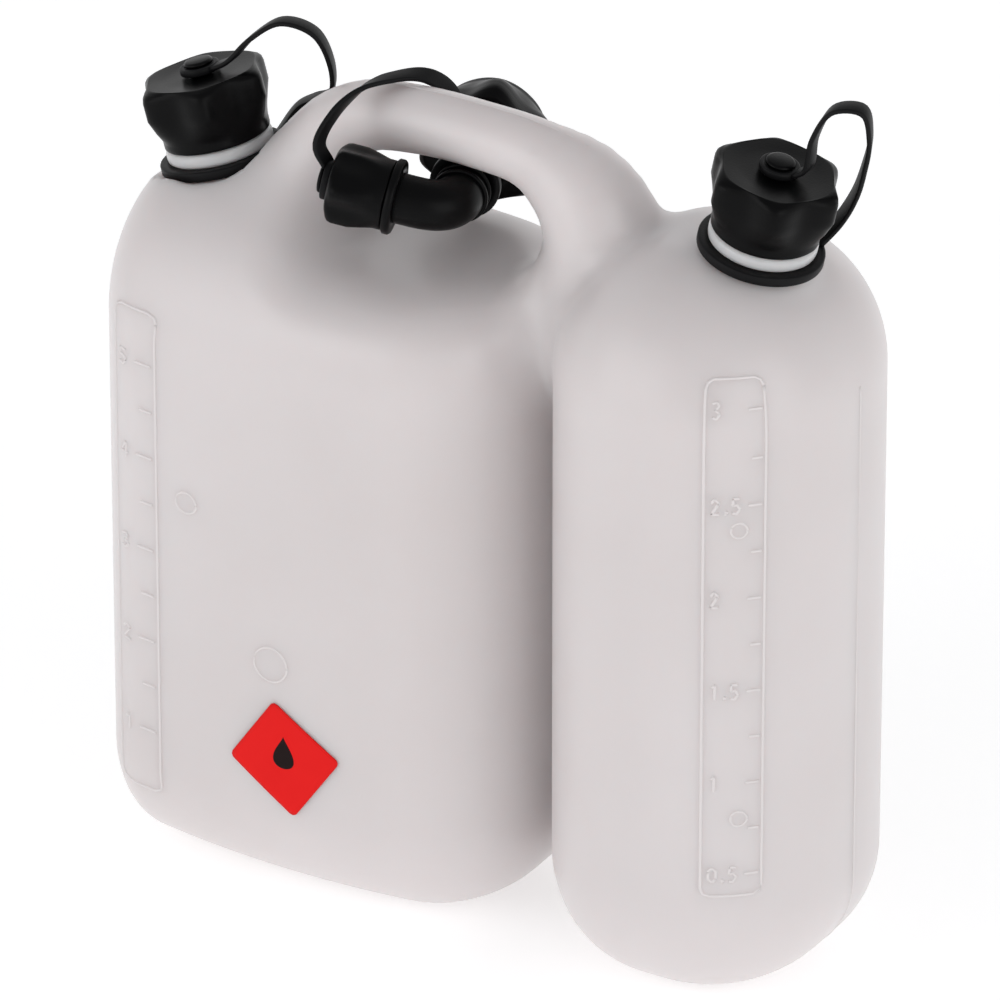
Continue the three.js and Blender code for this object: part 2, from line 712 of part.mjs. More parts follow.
// Outside and inside of the moulded elbow, with the tip's neck, the two flanges and the drip rings
function spoutTube(curve) {
  const bends = 9;
  const along = Array.from({ length: bends + 1 }, (_, i) => i / bends);
  const outside = pipe(curve, along.map((t) => [t, SPOUT_RADIUS]), 18);
  const inside = pipe(curve, along.map((t) => [t, SPOUT_RADIUS - SPOUT_WALL]), 14);
  const tip = endMatrix(curve, 0);
  const base = endMatrix(curve, 1);
  const tipNeck = turned([
    [0, -2],
    [TIP_FLANGE_RADIUS, -2],
    [TIP_FLANGE_RADIUS, TIP_FLANGE_THICK - 2],
    [TIP_NECK_RADIUS, TIP_FLANGE_THICK - 2],
    [TIP_NECK_RADIUS, TIP_NECK_LENGTH],
    [0, TIP_NECK_LENGTH],
  ], 24);
  const baseFlange = turned([
    [0, -8],
    [SPOUT_RADIUS + 1, -8],
    [SPOUT_RADIUS + 3, 0],
    [BASE_FLANGE_RADIUS, 0],
    [BASE_FLANGE_RADIUS, BASE_FLANGE_THICK],
    [0, BASE_FLANGE_THICK],
  ], 28);
  const boreTip = disc(SPOUT_RADIUS - SPOUT_WALL, -4, TIP_NECK_LENGTH + 4, 14);
  const boreBase = disc(SPOUT_RADIUS - SPOUT_WALL, -10, BASE_FLANGE_THICK + 4, 14);
  return geometryOf(
    solid(outside)
      .add(solid(tipNeck.applyMatrix4(tip)))
      .add(solid(baseFlange.applyMatrix4(base)))
      .subtract(solid(inside))
      .subtract(solid(boreTip.applyMatrix4(tip)))
      .subtract(solid(boreBase.applyMatrix4(base))),
  );
}

// Star nut that would hold the spout on a neck: open at both ends, with a lip behind the flange
function unionNut(inner, lipInner, lipThick) {
  const wide = CAP_WIDE_RADIUS;
  const skirt = CAP_SKIRT_RADIUS;
  return fluted(turned([
    [lipInner, 0],
    [wide - 5, 0],
    [wide - 1.6, NUT_HEIGHT * 0.08],
    [wide, NUT_HEIGHT * 0.22],
    [wide, NUT_HEIGHT * 0.5],
    [skirt + (wide - skirt) * 0.5, NUT_HEIGHT * 0.74],
    [skirt, NUT_HEIGHT * 0.9],
    [skirt, NUT_HEIGHT],
    [inner, NUT_HEIGHT],
    [inner, lipThick],
    [lipInner, lipThick],
  ], CAP_LOBES * 6), CAP_LOBES, CAP_FLUTE, skirt * 0.985, wide);
}

const SPOUT_STRAP_ROUTE = [
  [104.5, -37.5, 30],
  [106, -29, 39.5],
  [110, -16, 45.5],
  [116, -4, 47.2],
  [125, 9, 45],
  [132, 19, 34],
].map(overFuel);

function stowedSpout() {
  const group = new THREE.Group();
  const curve = spoutCurve();
  const tip = endMatrix(curve, 0);
  const base = endMatrix(curve, 1);
  group.add(named("spout_tube", spoutTube(curve), BLACK));
  const inner = NECK_RADIUS + THREAD_PLAY;
  const lip = 3;
  const nutLow = -lip - CLEARANCE;
  const nut = unionNut(inner, SPOUT_RADIUS + 4.2, lip).translate(0, 0, nutLow).applyMatrix4(base);
  group.add(named("spout_nut", nut, BLACK));
  const gasketLow = BASE_FLANGE_THICK + CLEARANCE;
  const gasket = tube(SPOUT_RADIUS, inner - CLEARANCE, gasketLow, gasketLow + GASKET_THICK, 28);
  group.add(named("spout_gasket", gasket.applyMatrix4(base), RUBBER));
  const tipInner = TIP_NECK_RADIUS + THREAD_PLAY;
  const foot = TIP_FLANGE_THICK - 2 + CLEARANCE;
  const depth = TIP_NECK_LENGTH - foot + GASKET_THICK + 2 * CLEARANCE;
  const cap = screwCap(TIP_CAP_RADIUS, TIP_CAP_RADIUS - 2.5, TIP_CAP_HEIGHT, tipInner, depth, 6, PIN_RADIUS);
  group.add(named("spout_tip_cap", cap.translate(0, 0, foot).applyMatrix4(tip), BLACK));
  const sealLow = TIP_NECK_LENGTH + CLEARANCE;
  const seal = disc(tipInner - CLEARANCE, sealLow, sealLow + GASKET_THICK, 20);
  group.add(named("spout_tip_gasket", seal.applyMatrix4(tip), RUBBER));
  const eyeLow = foot + TIP_CAP_HEIGHT + CLEARANCE;
  const eye = tube(PIN_RADIUS + CLEARANCE, EYE_RADIUS, eyeLow, eyeLow + EYE_THICK, 24).applyMatrix4(tip);
  const collar = endMatrix(curve, 0.74);
  const ring = tube(SPOUT_RADIUS + CLEARANCE, SPOUT_RADIUS + 4, -2, 2, 28).applyMatrix4(collar);
  const eyeSpot = new THREE.Vector3(0, 0, eyeLow + EYE_THICK / 2).applyMatrix4(tip);
  const start = [eyeSpot.x, eyeSpot.y, eyeSpot.z + (PIN_RADIUS + CLEARANCE + EYE_RADIUS) / 2 + 0.4];
  const spot = new THREE.Vector3().setFromMatrixPosition(collar);
  const finish = [spot.x, spot.y, spot.z + SPOUT_RADIUS + 2.4];
  const width = [0.1, 0.99, 0];
  const loop = band([start, ...SPOUT_STRAP_ROUTE, finish], width, width, STRAP_WIDTH - 1, STRAP_THICK, 24);
  group.add(named("spout_strap", joined(eye, ring, loop), BLACK));
  return group;
}

const can = new THREE.Group();
can.add(named("can_body", canBody(), NATURAL));
can.add(neckFittings("fuel", FUEL_NECK, FUEL_STRAP_ROUTE));
can.add(neckFittings("oil", OIL_NECK, OIL_STRAP_ROUTE));
can.add(named("front_label", label(), RED));
can.add(stowedSpout());

export default can;
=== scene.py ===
"""Looks of the dual fuel and oil can, built over the CAD frame.

Lengths are in millimetres until a mesh is made, where they become metres. The frame is the CAD
part's: origin at the centre of the standing plane, +Z up, the fuel tank at -X and the oil tank at +X.
"""

import itertools
import json
import logging
import math
from dataclasses import dataclass, field
from enum import Enum

import bpy
import numpy as np
from mathutils import Matrix, Vector

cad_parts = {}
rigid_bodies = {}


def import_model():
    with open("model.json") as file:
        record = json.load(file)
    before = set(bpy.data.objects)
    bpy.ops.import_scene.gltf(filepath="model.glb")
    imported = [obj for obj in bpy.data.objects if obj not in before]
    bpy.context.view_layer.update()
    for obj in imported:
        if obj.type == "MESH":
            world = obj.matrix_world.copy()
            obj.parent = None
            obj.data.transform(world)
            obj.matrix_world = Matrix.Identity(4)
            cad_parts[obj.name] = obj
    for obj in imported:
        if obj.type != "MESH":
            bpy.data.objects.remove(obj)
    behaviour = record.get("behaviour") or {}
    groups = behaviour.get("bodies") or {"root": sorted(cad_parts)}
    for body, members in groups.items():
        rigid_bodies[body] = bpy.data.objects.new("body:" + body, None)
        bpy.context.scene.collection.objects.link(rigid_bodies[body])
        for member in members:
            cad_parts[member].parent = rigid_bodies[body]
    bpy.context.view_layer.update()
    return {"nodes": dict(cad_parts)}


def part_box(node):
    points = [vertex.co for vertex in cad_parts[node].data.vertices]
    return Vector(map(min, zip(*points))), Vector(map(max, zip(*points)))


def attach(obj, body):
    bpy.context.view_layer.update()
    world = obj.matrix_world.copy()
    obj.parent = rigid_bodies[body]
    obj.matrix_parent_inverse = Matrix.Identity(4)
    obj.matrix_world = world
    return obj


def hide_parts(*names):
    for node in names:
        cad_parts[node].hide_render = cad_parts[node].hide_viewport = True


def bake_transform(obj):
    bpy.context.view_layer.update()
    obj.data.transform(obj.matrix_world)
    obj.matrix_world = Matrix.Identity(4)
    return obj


log = logging.getLogger("dual_can")
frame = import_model()

MM = 0.001
BODY_LOW, BODY_HIGH = (np.array(corner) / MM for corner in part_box("can_body"))

# Moulded body
FUEL_LENGTH = 196.0
OIL_LENGTH = 123.0
FACE_RADIUS = 360.0
SEAT_RADIUS = 20.0
SEAT_CUT_RADIUS = 26.5
NECK_LENGTH = 32.0
NECK_RADIUS = 18.0
NECK_BORE = 15.5
BORE_DEPTH = 25.0
BEAD_RADIUS = 21.5
BEAD_LOW = 4.6
BEAD_HIGH = 10.1
SKIN_STEP = 2.6
FAR = 1000.0
NECK_ROUND = 96
LINE_SIDES = 6

# Caps, straps and spout
CAP_LOBES = 6
CAP_FLUTE = 0.17
FLUTE_START = 0.985
CAP_FOOT = BEAD_HIGH + 0.3
CAP_HEIGHT = 27.0
CAP_RADIUS = 27.0
CAP_SKIRT = 21.6
CAP_ROOF = 3.0
CAP_FIT = 0.5
PIN_RADIUS = 4.4
PIN_HEAD_RADIUS = 5.8
EYE_RADIUS = 8.0
EYE_HOLE = 4.7
EYE_THICK = 3.0
EYE_REACH = (PIN_RADIUS + 0.3 + EYE_RADIUS) / 2 + 0.4
EYE_GAP = 0.3
EYE_LOW = CAP_FOOT + CAP_HEIGHT + EYE_GAP
RING_HOLE = 20.3
RING_RADIUS = 25.0
RING_LOW = 0.3
RING_HIGH = 4.3
STRAP_WIDTH = 8.0
STRAP_THICK = 2.0
WASHER_EDGE = 0.6
SPOUT_RADIUS = 10.0
SPOUT_BORE = 8.0
ELBOW_RADIUS = 16.0
CAP_ROUND = 144
PIN_ROUND = 48
ROUND = 72
SECTION_STEPS = 3

# Studio, matched to the photograph
CAMERA_AZIMUTH = 30.3
CAMERA_ELEVATION = 28.2
CAMERA_DISTANCE = 4800.0
CAMERA_ASIDE = 1.388
CAMERA_UP = 151.76
CAMERA_LENS = 432.0
CAMERA_SENSOR = 36.0
CAMERA_CLIP = 50.0


def soft_min(a: np.ndarray, b: np.ndarray, width: float) -> np.ndarray:
    """Joins two shapes with a fillet.

    Args:
        a: Distances to the first shape.
        b: Distances to the second shape.
        width: Width of the fillet.

    Returns:
        Distances to the joined shape.
    """
    share = np.maximum(width - np.abs(a - b), 0) / width
    return np.minimum(a, b) - share * share * width / 4


def soft_max(a: np.ndarray, b: np.ndarray, width: float) -> np.ndarray:
    """Keeps what two shapes share, with a rounded edge.

    Args:
        a: Distances to the first shape.
        b: Distances to the second shape.
        width: Width of the rounding.

    Returns:
        Distances to the shared shape.
    """
    return -soft_min(-a, -b, width)


def round_max(a: np.ndarray, b: np.ndarray, radius: float) -> np.ndarray:
    """Keeps what two shapes share, with an outside corner of a true radius.

    Args:
        a: Distances to the first shape.
        b: Distances to the second shape.
        radius: Radius of the corner.

    Returns:
        Distances to the shared shape.
    """
    outside = np.hypot(np.maximum(a + radius, 0), np.maximum(b + radius, 0))
    return np.minimum(-radius, np.maximum(a, b)) + outside


def catmull(points: np.ndarray, steps: int) -> np.ndarray:
    """Runs a centripetal Catmull-Rom curve through points.

    Args:
        points: Places that the curve passes, one a row.
        steps: Number of stretches to return.

    Returns:
        The curve's points, one more than steps.
    """
    p = np.asarray(points, float)
    p = np.vstack([2 * p[0] - p[1], p, 2 * p[-1] - p[-2]])
    out = []
    for t in np.linspace(0, len(p) - 3, steps + 1):
        i = min(int(t), len(p) - 4)
        q = p[i:i + 4]
        d0, d1, d2 = np.maximum(np.sum(np.diff(q, axis=0) ** 2, axis=1) ** 0.25, 1e-4)
        m1 = ((q[1] - q[0]) / d0 - (q[2] - q[0]) / (d0 + d1) + (q[2] - q[1]) / d1) * d1
        m2 = ((q[2] - q[1]) / d1 - (q[3] - q[1]) / (d1 + d2) + (q[3] - q[2]) / d2) * d1
        s = t - i
        bend = (3 * (q[2] - q[1]) - 2 * m1 - m2) * s ** 2 + (2 * (q[1] - q[2]) + m1 + m2) * s ** 3
        out.append(q[1] + m1 * s + bend)
    return np.array(out)


def even(points: np.ndarray, count: int) -> np.ndarray:
    """Spreads points evenly along a polyline.

    Args:
        points: The polyline.
        count: Number of points wanted.

    Returns:
        The evenly spread points.
    """
    run = np.concatenate([[0], np.cumsum(np.linalg.norm(np.diff(points, axis=0), axis=1))])
    at = np.linspace(0, run[-1], count)
    return np.stack([np.interp(at, run, points[:, n]) for n in range(points.shape[1])], -1)


def rounded_outline(half_wide: float, half_high: float, corner: float, count: int) -> np.ndarray:
    """Outline of a rectangle with round corners about its centre, anticlockwise.

    Args:
        half_wide: Half of its width.
        half_high: Half of its height.
        corner: Radius of its corners.
        count: Points on each corner.

    Returns:
        The points, with the first one again at the end.
    """
    points = []
    for quarter, (u, v) in enumerate(((1, 1), (-1, 1), (-1, -1), (1, -1))):
        centre = np.array([u * (half_wide - corner), v * (half_high - corner)])
        for angle in np.radians(90 * quarter + np.linspace(0, 90, count)):
            points.append(centre + corner * np.array([math.cos(angle), math.sin(angle)]))
    return np.array(points + points[:1])


@dataclass(frozen=True)
class Tank:
    """One tank: a crowned, rounded block with a rolled foot and an arched shoulder."""

    left: float
    right: float
    top: float
    shoulder: float
    end_shoulder: float
    corner: float
    foot: float

    @property
    def middle(self) -> float:
        """X of the tank's own upright axis."""
        return (self.left + self.right) / 2

    def distance(self, p: np.ndarray) -> np.ndarray:
        """Distance to the tank's skin, negative inside.

        Args:
            p: Points, one a row.

        Returns:
            One distance a point.
        """
        x, y, z = p[:, 0], p[:, 1], p[:, 2]
        stretch = self.shoulder / self.end_shoulder
        crown = (x - self.middle) ** 2 / (2 * FACE_RADIUS)
        left_wall = (self.left - x) * (stretch if self.left < 0 else 1)
        right_wall = (x - self.right) * (1 if self.left < 0 else stretch)
        faces = np.abs(y) - BODY_HIGH[1] + crown
        plan = round_max(np.maximum(left_wall, right_wall), faces, self.corner)
        return round_max(round_max(plan, -z, self.foot), z - self.top, self.shoulder)


@dataclass(frozen=True)
class Neck:
    """Seat of a threaded neck, leaning in the XZ plane."""

    x: float
    z: float
    tilt: float

    @property
    def axis(self) -> np.ndarray:
        """Unit vector out of the neck."""
        lean = math.radians(self.tilt)
        return np.array([math.sin(lean), 0, math.cos(lean)])

    @property
    def place(self) -> np.ndarray:
        """4x4 matrix from the neck's frame to the can's, in millimetres."""
        matrix = np.array(Matrix.Rotation(math.radians(self.tilt), 4, "Y"))
        matrix[:3, 3] = (self.x, 0, self.z)
        return matrix

    def split(self, p: np.ndarray) -> tuple[np.ndarray, np.ndarray]:
        """Splits points into parts across and along the neck.

        Args:
            p: Points, one a row.

        Returns:
            The distance from the neck's axis, and the height above its seat.
        """
        offset = p - np.array([self.x, 0, self.z])
        along = offset @ self.axis
        return np.linalg.norm(offset - along[:, None] * self.axis, axis=1), along


FUEL = Tank(BODY_LOW[0], BODY_LOW[0] + FUEL_LENGTH, 300, 63, 41, 50, 46)
OIL = Tank(BODY_HIGH[0] - OIL_LENGTH, BODY_HIGH[0], 314, 55, 60, 54, 48)
GAP_X = (FUEL.right + OIL.left) / 2
FUEL_NECK = Neck(FUEL.left + 38, FUEL.top - 9.5, -16)
OIL_NECK = Neck(OIL.right - 45, OIL.top - 2, 12)


@dataclass
class CanSkin:
    """The moulded skin as a distance field, with the handle, scoop, web and neck seats.

    The handle's rows hold X, Z and radius. X of the handle and the opening is taken from the fuel
    tank's end, and Z from its top.
    """

    handle_rows: tuple[tuple[float, float, float], ...] = (
        (75, -16, 17), (85, 11, 15.5), (102, 26, 13.8), (126, 30.6, 13.3), (156, 30.8, 13.3),
        (181, 28, 14.5), (202, 16.5, 20.5), (211, -2, 24), (207, -32, 24))
    handle_steps: int = 30
    handle_foot: float = 225.0
    opening_left: float = 89.0
    opening_right: float = 190.0
    opening_low: float = -24.0
    opening_high: float = 22.0
    opening_radius: float = 24.0
    opening_rim: float = 20.0
    handle_fillet: float = 24.0
    neck_fillet: float = 9.0
    groove_fillet: float = 10.0
    web_fillet: float = 3.0
    seat_edge: float = 4.0
    web_half: float = 2.5
    web_reach: float = 14.5
    web_low: float = 34.0
    slope_step: float = 0.05
    slide_rounds: int = 3
    cast_rounds: int = 24
    handle_places: np.ndarray = field(init=False)

    def __post_init__(self) -> None:
        """Runs the handle's middle line through its rows."""
        places = catmull(np.array(self.handle_rows, float), self.handle_steps)
        self.handle_places = places + np.array([FUEL.left, FUEL.top, 0])

    def handle(self, p: np.ndarray) -> np.ndarray:
        """Distance to the bar handle, far away where it can't matter.

        Args:
            p: Points, one a row.

        Returns:
            One distance a point.
        """
        out = np.full(len(p), FAR)
        near = p[:, 2] > self.handle_foot
        q = p[near]
        best = np.full(len(q), FAR)
        for (ax, az, ar), (bx, bz, br) in itertools.pairwise(self.handle_places):
            start = np.array([ax, 0, az])
            run = np.array([bx - ax, 0, bz - az])
            t = np.clip((q - start) @ run / (run @ run), 0, 1)
            gap = np.linalg.norm(q - start - t[:, None] * run, axis=1) - ar - t * (br - ar)
            best = np.minimum(best, gap)
        out[near] = best
        return out

    def opening(self, p: np.ndarray) -> np.ndarray:
        """Distance to the finger opening's rounded outline, as seen from the front.

        Args:
            p: Points, one a row.

        Returns:
            One distance a point, the same at any depth.
        """
        half = (self.opening_right - self.opening_left) / 2
        tall = (self.opening_high - self.opening_low) / 2
        qx = np.abs(p[:, 0] - FUEL.left - self.opening_left - half) - half + self.opening_radius
        qz = np.abs(p[:, 2] - FUEL.top - self.opening_low - tall) - tall + self.opening_radius
        outside = np.hypot(np.maximum(qx, 0), np.maximum(qz, 0))
        return outside + np.minimum(np.maximum(qx, qz), 0) - self.opening_radius

    def with_neck(self, d: np.ndarray, p: np.ndarray, neck: Neck) -> np.ndarray:
        """Adds the round boss under a neck.

        Args:
            d: Distances to the shape that carries the neck.
            p: Points, one a row.
            neck: The neck.

        Returns:
            Distances to the shape with its boss.
        """
        across, along = neck.split(p)
        half = NECK_LENGTH / 2
        boss = round_max(across - SEAT_RADIUS, np.abs(along + half) - half, 1)
        return soft_min(d, boss, self.neck_fillet)

    def distance(self, p: np.ndarray) -> np.ndarray:
        """Distance to the whole skin, negative inside.

        Args:
            p: Points, one a row.

        Returns:
            One distance a point.
        """
        scooped = soft_max(FUEL.distance(p), -self.opening(p), self.opening_rim)
        fuel = soft_min(scooped, self.handle(p), self.handle_fillet)
        fuel = self.with_neck(fuel, p, FUEL_NECK)
        oil = self.with_neck(OIL.distance(p), p, OIL_NECK)
        both = soft_min(fuel, oil, self.groove_fillet)
        web = np.maximum.reduce([
            np.abs(p[:, 0] - GAP_X) - self.web_reach,
            np.abs(p[:, 1]) - self.web_half,
            self.web_low - p[:, 2],
            p[:, 2] - OIL.top + SEAT_RADIUS,
        ])
        both = soft_min(both, web, self.web_fillet)
        for neck in (FUEL_NECK, OIL_NECK):
            across, along = neck.split(p)
            both = soft_max(both, -round_max(across - SEAT_CUT_RADIUS, -along, 1), self.seat_edge)
            both = np.maximum(both, -np.maximum(across - NECK_BORE, -along - BORE_DEPTH))
        return both

    def cast(self, starts: np.ndarray, ways: np.ndarray, reach: float = 130.0) -> np.ndarray:
        """Finds where straight ways out of the can leave its skin.

        Args:
            starts: Points inside, one a row.
            ways: Unit vectors, one a row.
            reach: Length that is sure to end outside.

        Returns:
            Points on the skin.
        """
        low = np.zeros(len(starts))
        high = np.full(len(starts), reach)
        for _ in range(self.cast_rounds):
            middle = (low + high) / 2
            inside = self.distance(starts + middle[:, None] * ways) < 0
            low = np.where(inside, middle, low)
            high = np.where(inside, high, middle)
        return starts + low[:, None] * ways

    def onto(self, p: np.ndarray) -> np.ndarray:
        """Slides points along the field's slope on to the skin.

        Args:
            p: Points near the skin, one a row.

        Returns:
            The points on the skin.
        """
        step = self.slope_step
        for _ in range(self.slide_rounds):
            value = self.distance(p)
            rise = np.stack([self.distance(p + step * e) - value for e in np.eye(3)], -1) / step
            steep = np.maximum(np.sum(rise ** 2, axis=1), 0.1)
            p = p - (value / steep)[:, None] * rise
        return p

    def mesh(self, step: float) -> tuple[np.ndarray, np.ndarray]:
        """Quad mesh of the skin, with one vertex for each grid cell that it crosses.

        Args:
            step: Edge of a grid cell.

        Returns:
            Points, and four point numbers for each face.
        """
        axes = [np.arange(a - 2 * step, b + 2.5 * step, step) for a, b in zip(BODY_LOW, BODY_HIGH)]
        grid = np.stack(np.meshgrid(*axes, indexing="ij"), -1)
        values = self.distance(grid.reshape(-1, 3)).reshape(grid.shape[:3])
        cells = tuple(n - 1 for n in values.shape)
        total = np.zeros(cells + (3,))
        hits = np.zeros(cells)
        for axis, others in itertools.product(range(3), itertools.product((0, 1), repeat=2)):
            ends = []
            for side in (0, 1):
                corner = list(others)
                corner.insert(axis, side)
                ends.append(corner)
            va, vb = (values[tuple(slice(c, c + n) for c, n in zip(end, cells))] for end in ends)
            crossed = (va < 0) != (vb < 0)
            place = np.tile(np.array(ends[0], float), (int(crossed.sum()), 1))
            place[:, axis] = va[crossed] / (va[crossed] - vb[crossed])
            total[crossed] += place
            hits += crossed
        used = hits > 0
        index = np.full(cells, -1)
        index[used] = np.arange(int(used.sum()))
        points = (np.argwhere(used) + total[used] / hits[used][:, None]) * step + [a[0] for a in axes]
        faces = []
        for axis in range(3):
            size = values.shape[axis]
            lower = np.take(values, range(size - 1), axis) < 0
            upper = np.take(values, range(1, size), axis) < 0
            u, v = np.eye(3, dtype=int)[[(axis + 1) % 3, (axis + 2) % 3]]
            for mask, turn in ((lower & ~upper, 1), (upper & ~lower, -1)):
                spot = np.argwhere(mask)
                ring = [index[tuple((spot - back).T)] for back in (u + v, v, 0 * u, u)]
                faces.append(np.stack(ring, -1)[:, ::turn])
        return self.onto(points), np.vstack(faces)


class MeshKit:
    """Makes Blender meshes from point lists in millimetres."""

    FLUTE_POWER = 0.8
    AXIS_RADIUS = 1e-3

    @staticmethod
    def add(name: str, points: np.ndarray, faces: list, material: bpy.types.Material,
            body: str | None = "can") -> bpy.types.Object:
        """Makes one smooth object.

        Args:
            name: Name of the piece.
            points: Points in millimetres, one a row.
            faces: Point numbers of each face.
            material: Its finish.

        Returns:
            The new object.
        """
        mesh = bpy.data.meshes.new(name)
        mesh.from_pydata((np.asarray(points) * MM).tolist(), [], [list(f) for f in faces])
        mesh.materials.append(material)
        mesh.shade_smooth()
        mesh.update()
        obj = bpy.data.objects.new(name, mesh)
        bpy.context.scene.collection.objects.link(obj)
        if body:
            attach(obj, body)
        return obj

    @staticmethod
    def moved(points: np.ndarray, place: np.ndarray) -> np.ndarray:
        """Points taken through a 4x4 matrix."""
        return np.asarray(points) @ place[:3, :3].T + place[:3, 3]

    @staticmethod
    def loft(rings: np.ndarray, closed: bool = False) -> tuple[np.ndarray, list]:
        """Skins a stack of rings.

        Args:
            rings: Array of ring, place on the ring, coordinate.
            closed: True if the last ring joins the first one.

        Returns:
            Points and faces; open ends are capped.
        """
        count, around = rings.shape[:2]
        faces = []
        for i in range(count if closed else count - 1):
            a, b = i * around, ((i + 1) % count) * around
            for c in range(around):
                d = (c + 1) % around
                faces.append((a + c, a + d, b + d, b + c))
        if not closed:
            faces.append(tuple(range(around))[::-1])
            faces.append(tuple((count - 1) * around + c for c in range(around)))
        return rings.reshape(-1, 3), faces

    @staticmethod
    def revolve(profile: list, around: int = 96, lobes: int = 0, flute: float = 0.0,
                skirt: float = 0.0, wide: float = 0.0, smooth: int = 0) -> tuple[np.ndarray, list]:
        """Turns a closed section about Z, with flutes pressed into its wide part.

        Args:
            profile: [radius, height] pairs, anticlockwise round the section.
            around: Points round a ring.
            lobes: Number of lobes left between the flutes, 0 for a plain round.
            flute: Depth of a flute as a share of the wide radius.
            skirt: Radius where the flutes start.
            wide: Largest radius.
            smooth: Extra points on each stretch of the section.

        Returns:
            Points and faces.
        """
        section = np.array(profile, float)
        if smooth:
            fine = [even(np.stack([a, b]), smooth + 1)[:-1] for a, b in itertools.pairwise(section)]
            section = np.vstack(fine + [section[-1:]])
        axial = section[0, 0] == 0 and section[-1, 0] == 0
        angle = np.linspace(0, 2 * math.pi, around, endpoint=False)
        wave = (0.5 - 0.5 * np.cos(lobes * angle)) ** MeshKit.FLUTE_POWER if lobes else np.zeros(around)
        rings = []
        for radius, height in section:
            reach = min(1.0, max(0.0, (radius - skirt) / (wide - skirt))) if lobes else 0.0
            r = np.maximum(radius - flute * wide * wave * reach, MeshKit.AXIS_RADIUS if axial else 0)
            rings.append(np.stack([r * np.cos(angle), r * np.sin(angle), np.full(around, height)], -1))
        return MeshKit.loft(np.array(rings), closed=not axial)

    @staticmethod
    def tube(path: np.ndarray, radius: float, around: int = 8) -> tuple[np.ndarray, list]:
        """Round tube along a path, with its ends capped.

        Args:
            path: Places of the middle line, one a row.
            radius: Radius of the tube.
            around: Points round a ring.

        Returns:
            Points and faces.
        """
        tangent = np.gradient(path, axis=0)
        tangent /= np.maximum(np.linalg.norm(tangent, axis=1), 1e-9)[:, None]
        spare = np.array([0.31, 0.17, 0.93])
        side = np.cross(tangent, spare)
        side /= np.linalg.norm(side, axis=1)[:, None]
        rise = np.cross(tangent, side)
        angle = np.linspace(0, 2 * math.pi, around, endpoint=False)
        spread = side[:, None] * np.cos(angle)[None, :, None] + rise[:, None] * np.sin(angle)[None, :, None]
        return MeshKit.loft(path[:, None] + radius * spread)

    @staticmethod
    def gather(parts: list) -> tuple[np.ndarray, list]:
        """Puts several point and face lists into one.

        Args:
            parts: Pairs of points and faces.

        Returns:
            All points, and all faces with their numbers moved on.
        """
        points, faces, count = [], [], 0
        for some, more in parts:
            points.append(np.asarray(some))
            faces += [tuple(int(n) + count for n in face) for face in more]
            count += len(some)
        return np.vstack(points), faces


class Effect:
    """Shader node groups that the finishes share."""

    CLOUD_DETAIL = 3.0
    GRAIN_DETAIL = 2.0
    BUMP_HEIGHT = 0.0004

    @staticmethod
    def noise_mask(name: str) -> bpy.types.ShaderNodeTree:
        """Group that gives a soft cloudy mask and a bumped normal from object coordinates.

        Args:
            name: Name of the group.

        Returns:
            A group with the inputs Cloud scale, Grain scale and Bump, and the outputs Mask and Normal.
        """
        tree = bpy.data.node_groups.new(name, "ShaderNodeTree")
        for label, value in (("Cloud scale", 20.0), ("Grain scale", 900.0), ("Bump", 0.05)):
            socket = tree.interface.new_socket(label, in_out="INPUT", socket_type="NodeSocketFloat")
            socket.default_value = value
        tree.interface.new_socket("Mask", in_out="OUTPUT", socket_type="NodeSocketFloat")
        tree.interface.new_socket("Normal", in_out="OUTPUT", socket_type="NodeSocketVector")
        nodes, links = tree.nodes, tree.links
        start = nodes.new("NodeGroupInput")
        end = nodes.new("NodeGroupOutput")
        place = nodes.new("ShaderNodeTexCoord")
        cloud = nodes.new("ShaderNodeTexNoise")
        cloud.inputs["Detail"].default_value = Effect.CLOUD_DETAIL
        grain = nodes.new("ShaderNodeTexNoise")
        grain.inputs["Detail"].default_value = Effect.GRAIN_DETAIL
        bump = nodes.new("ShaderNodeBump")
        bump.inputs["Distance"].default_value = Effect.BUMP_HEIGHT
        links.new(place.outputs["Object"], cloud.inputs["Vector"])
        links.new(place.outputs["Object"], grain.inputs["Vector"])
        links.new(start.outputs["Cloud scale"], cloud.inputs["Scale"])
        links.new(start.outputs["Grain scale"], grain.inputs["Scale"])
        links.new(start.outputs["Bump"], bump.inputs["Strength"])
        links.new(grain.outputs["Fac"], bump.inputs["Height"])
        links.new(cloud.outputs["Fac"], end.inputs["Mask"])
        links.new(bump.outputs["Normal"], end.inputs["Normal"])
        return tree


class Depth(Enum):
    """Where a plastic sends light back from."""

    SURFACE = "surface"
    INSIDE = "inside"


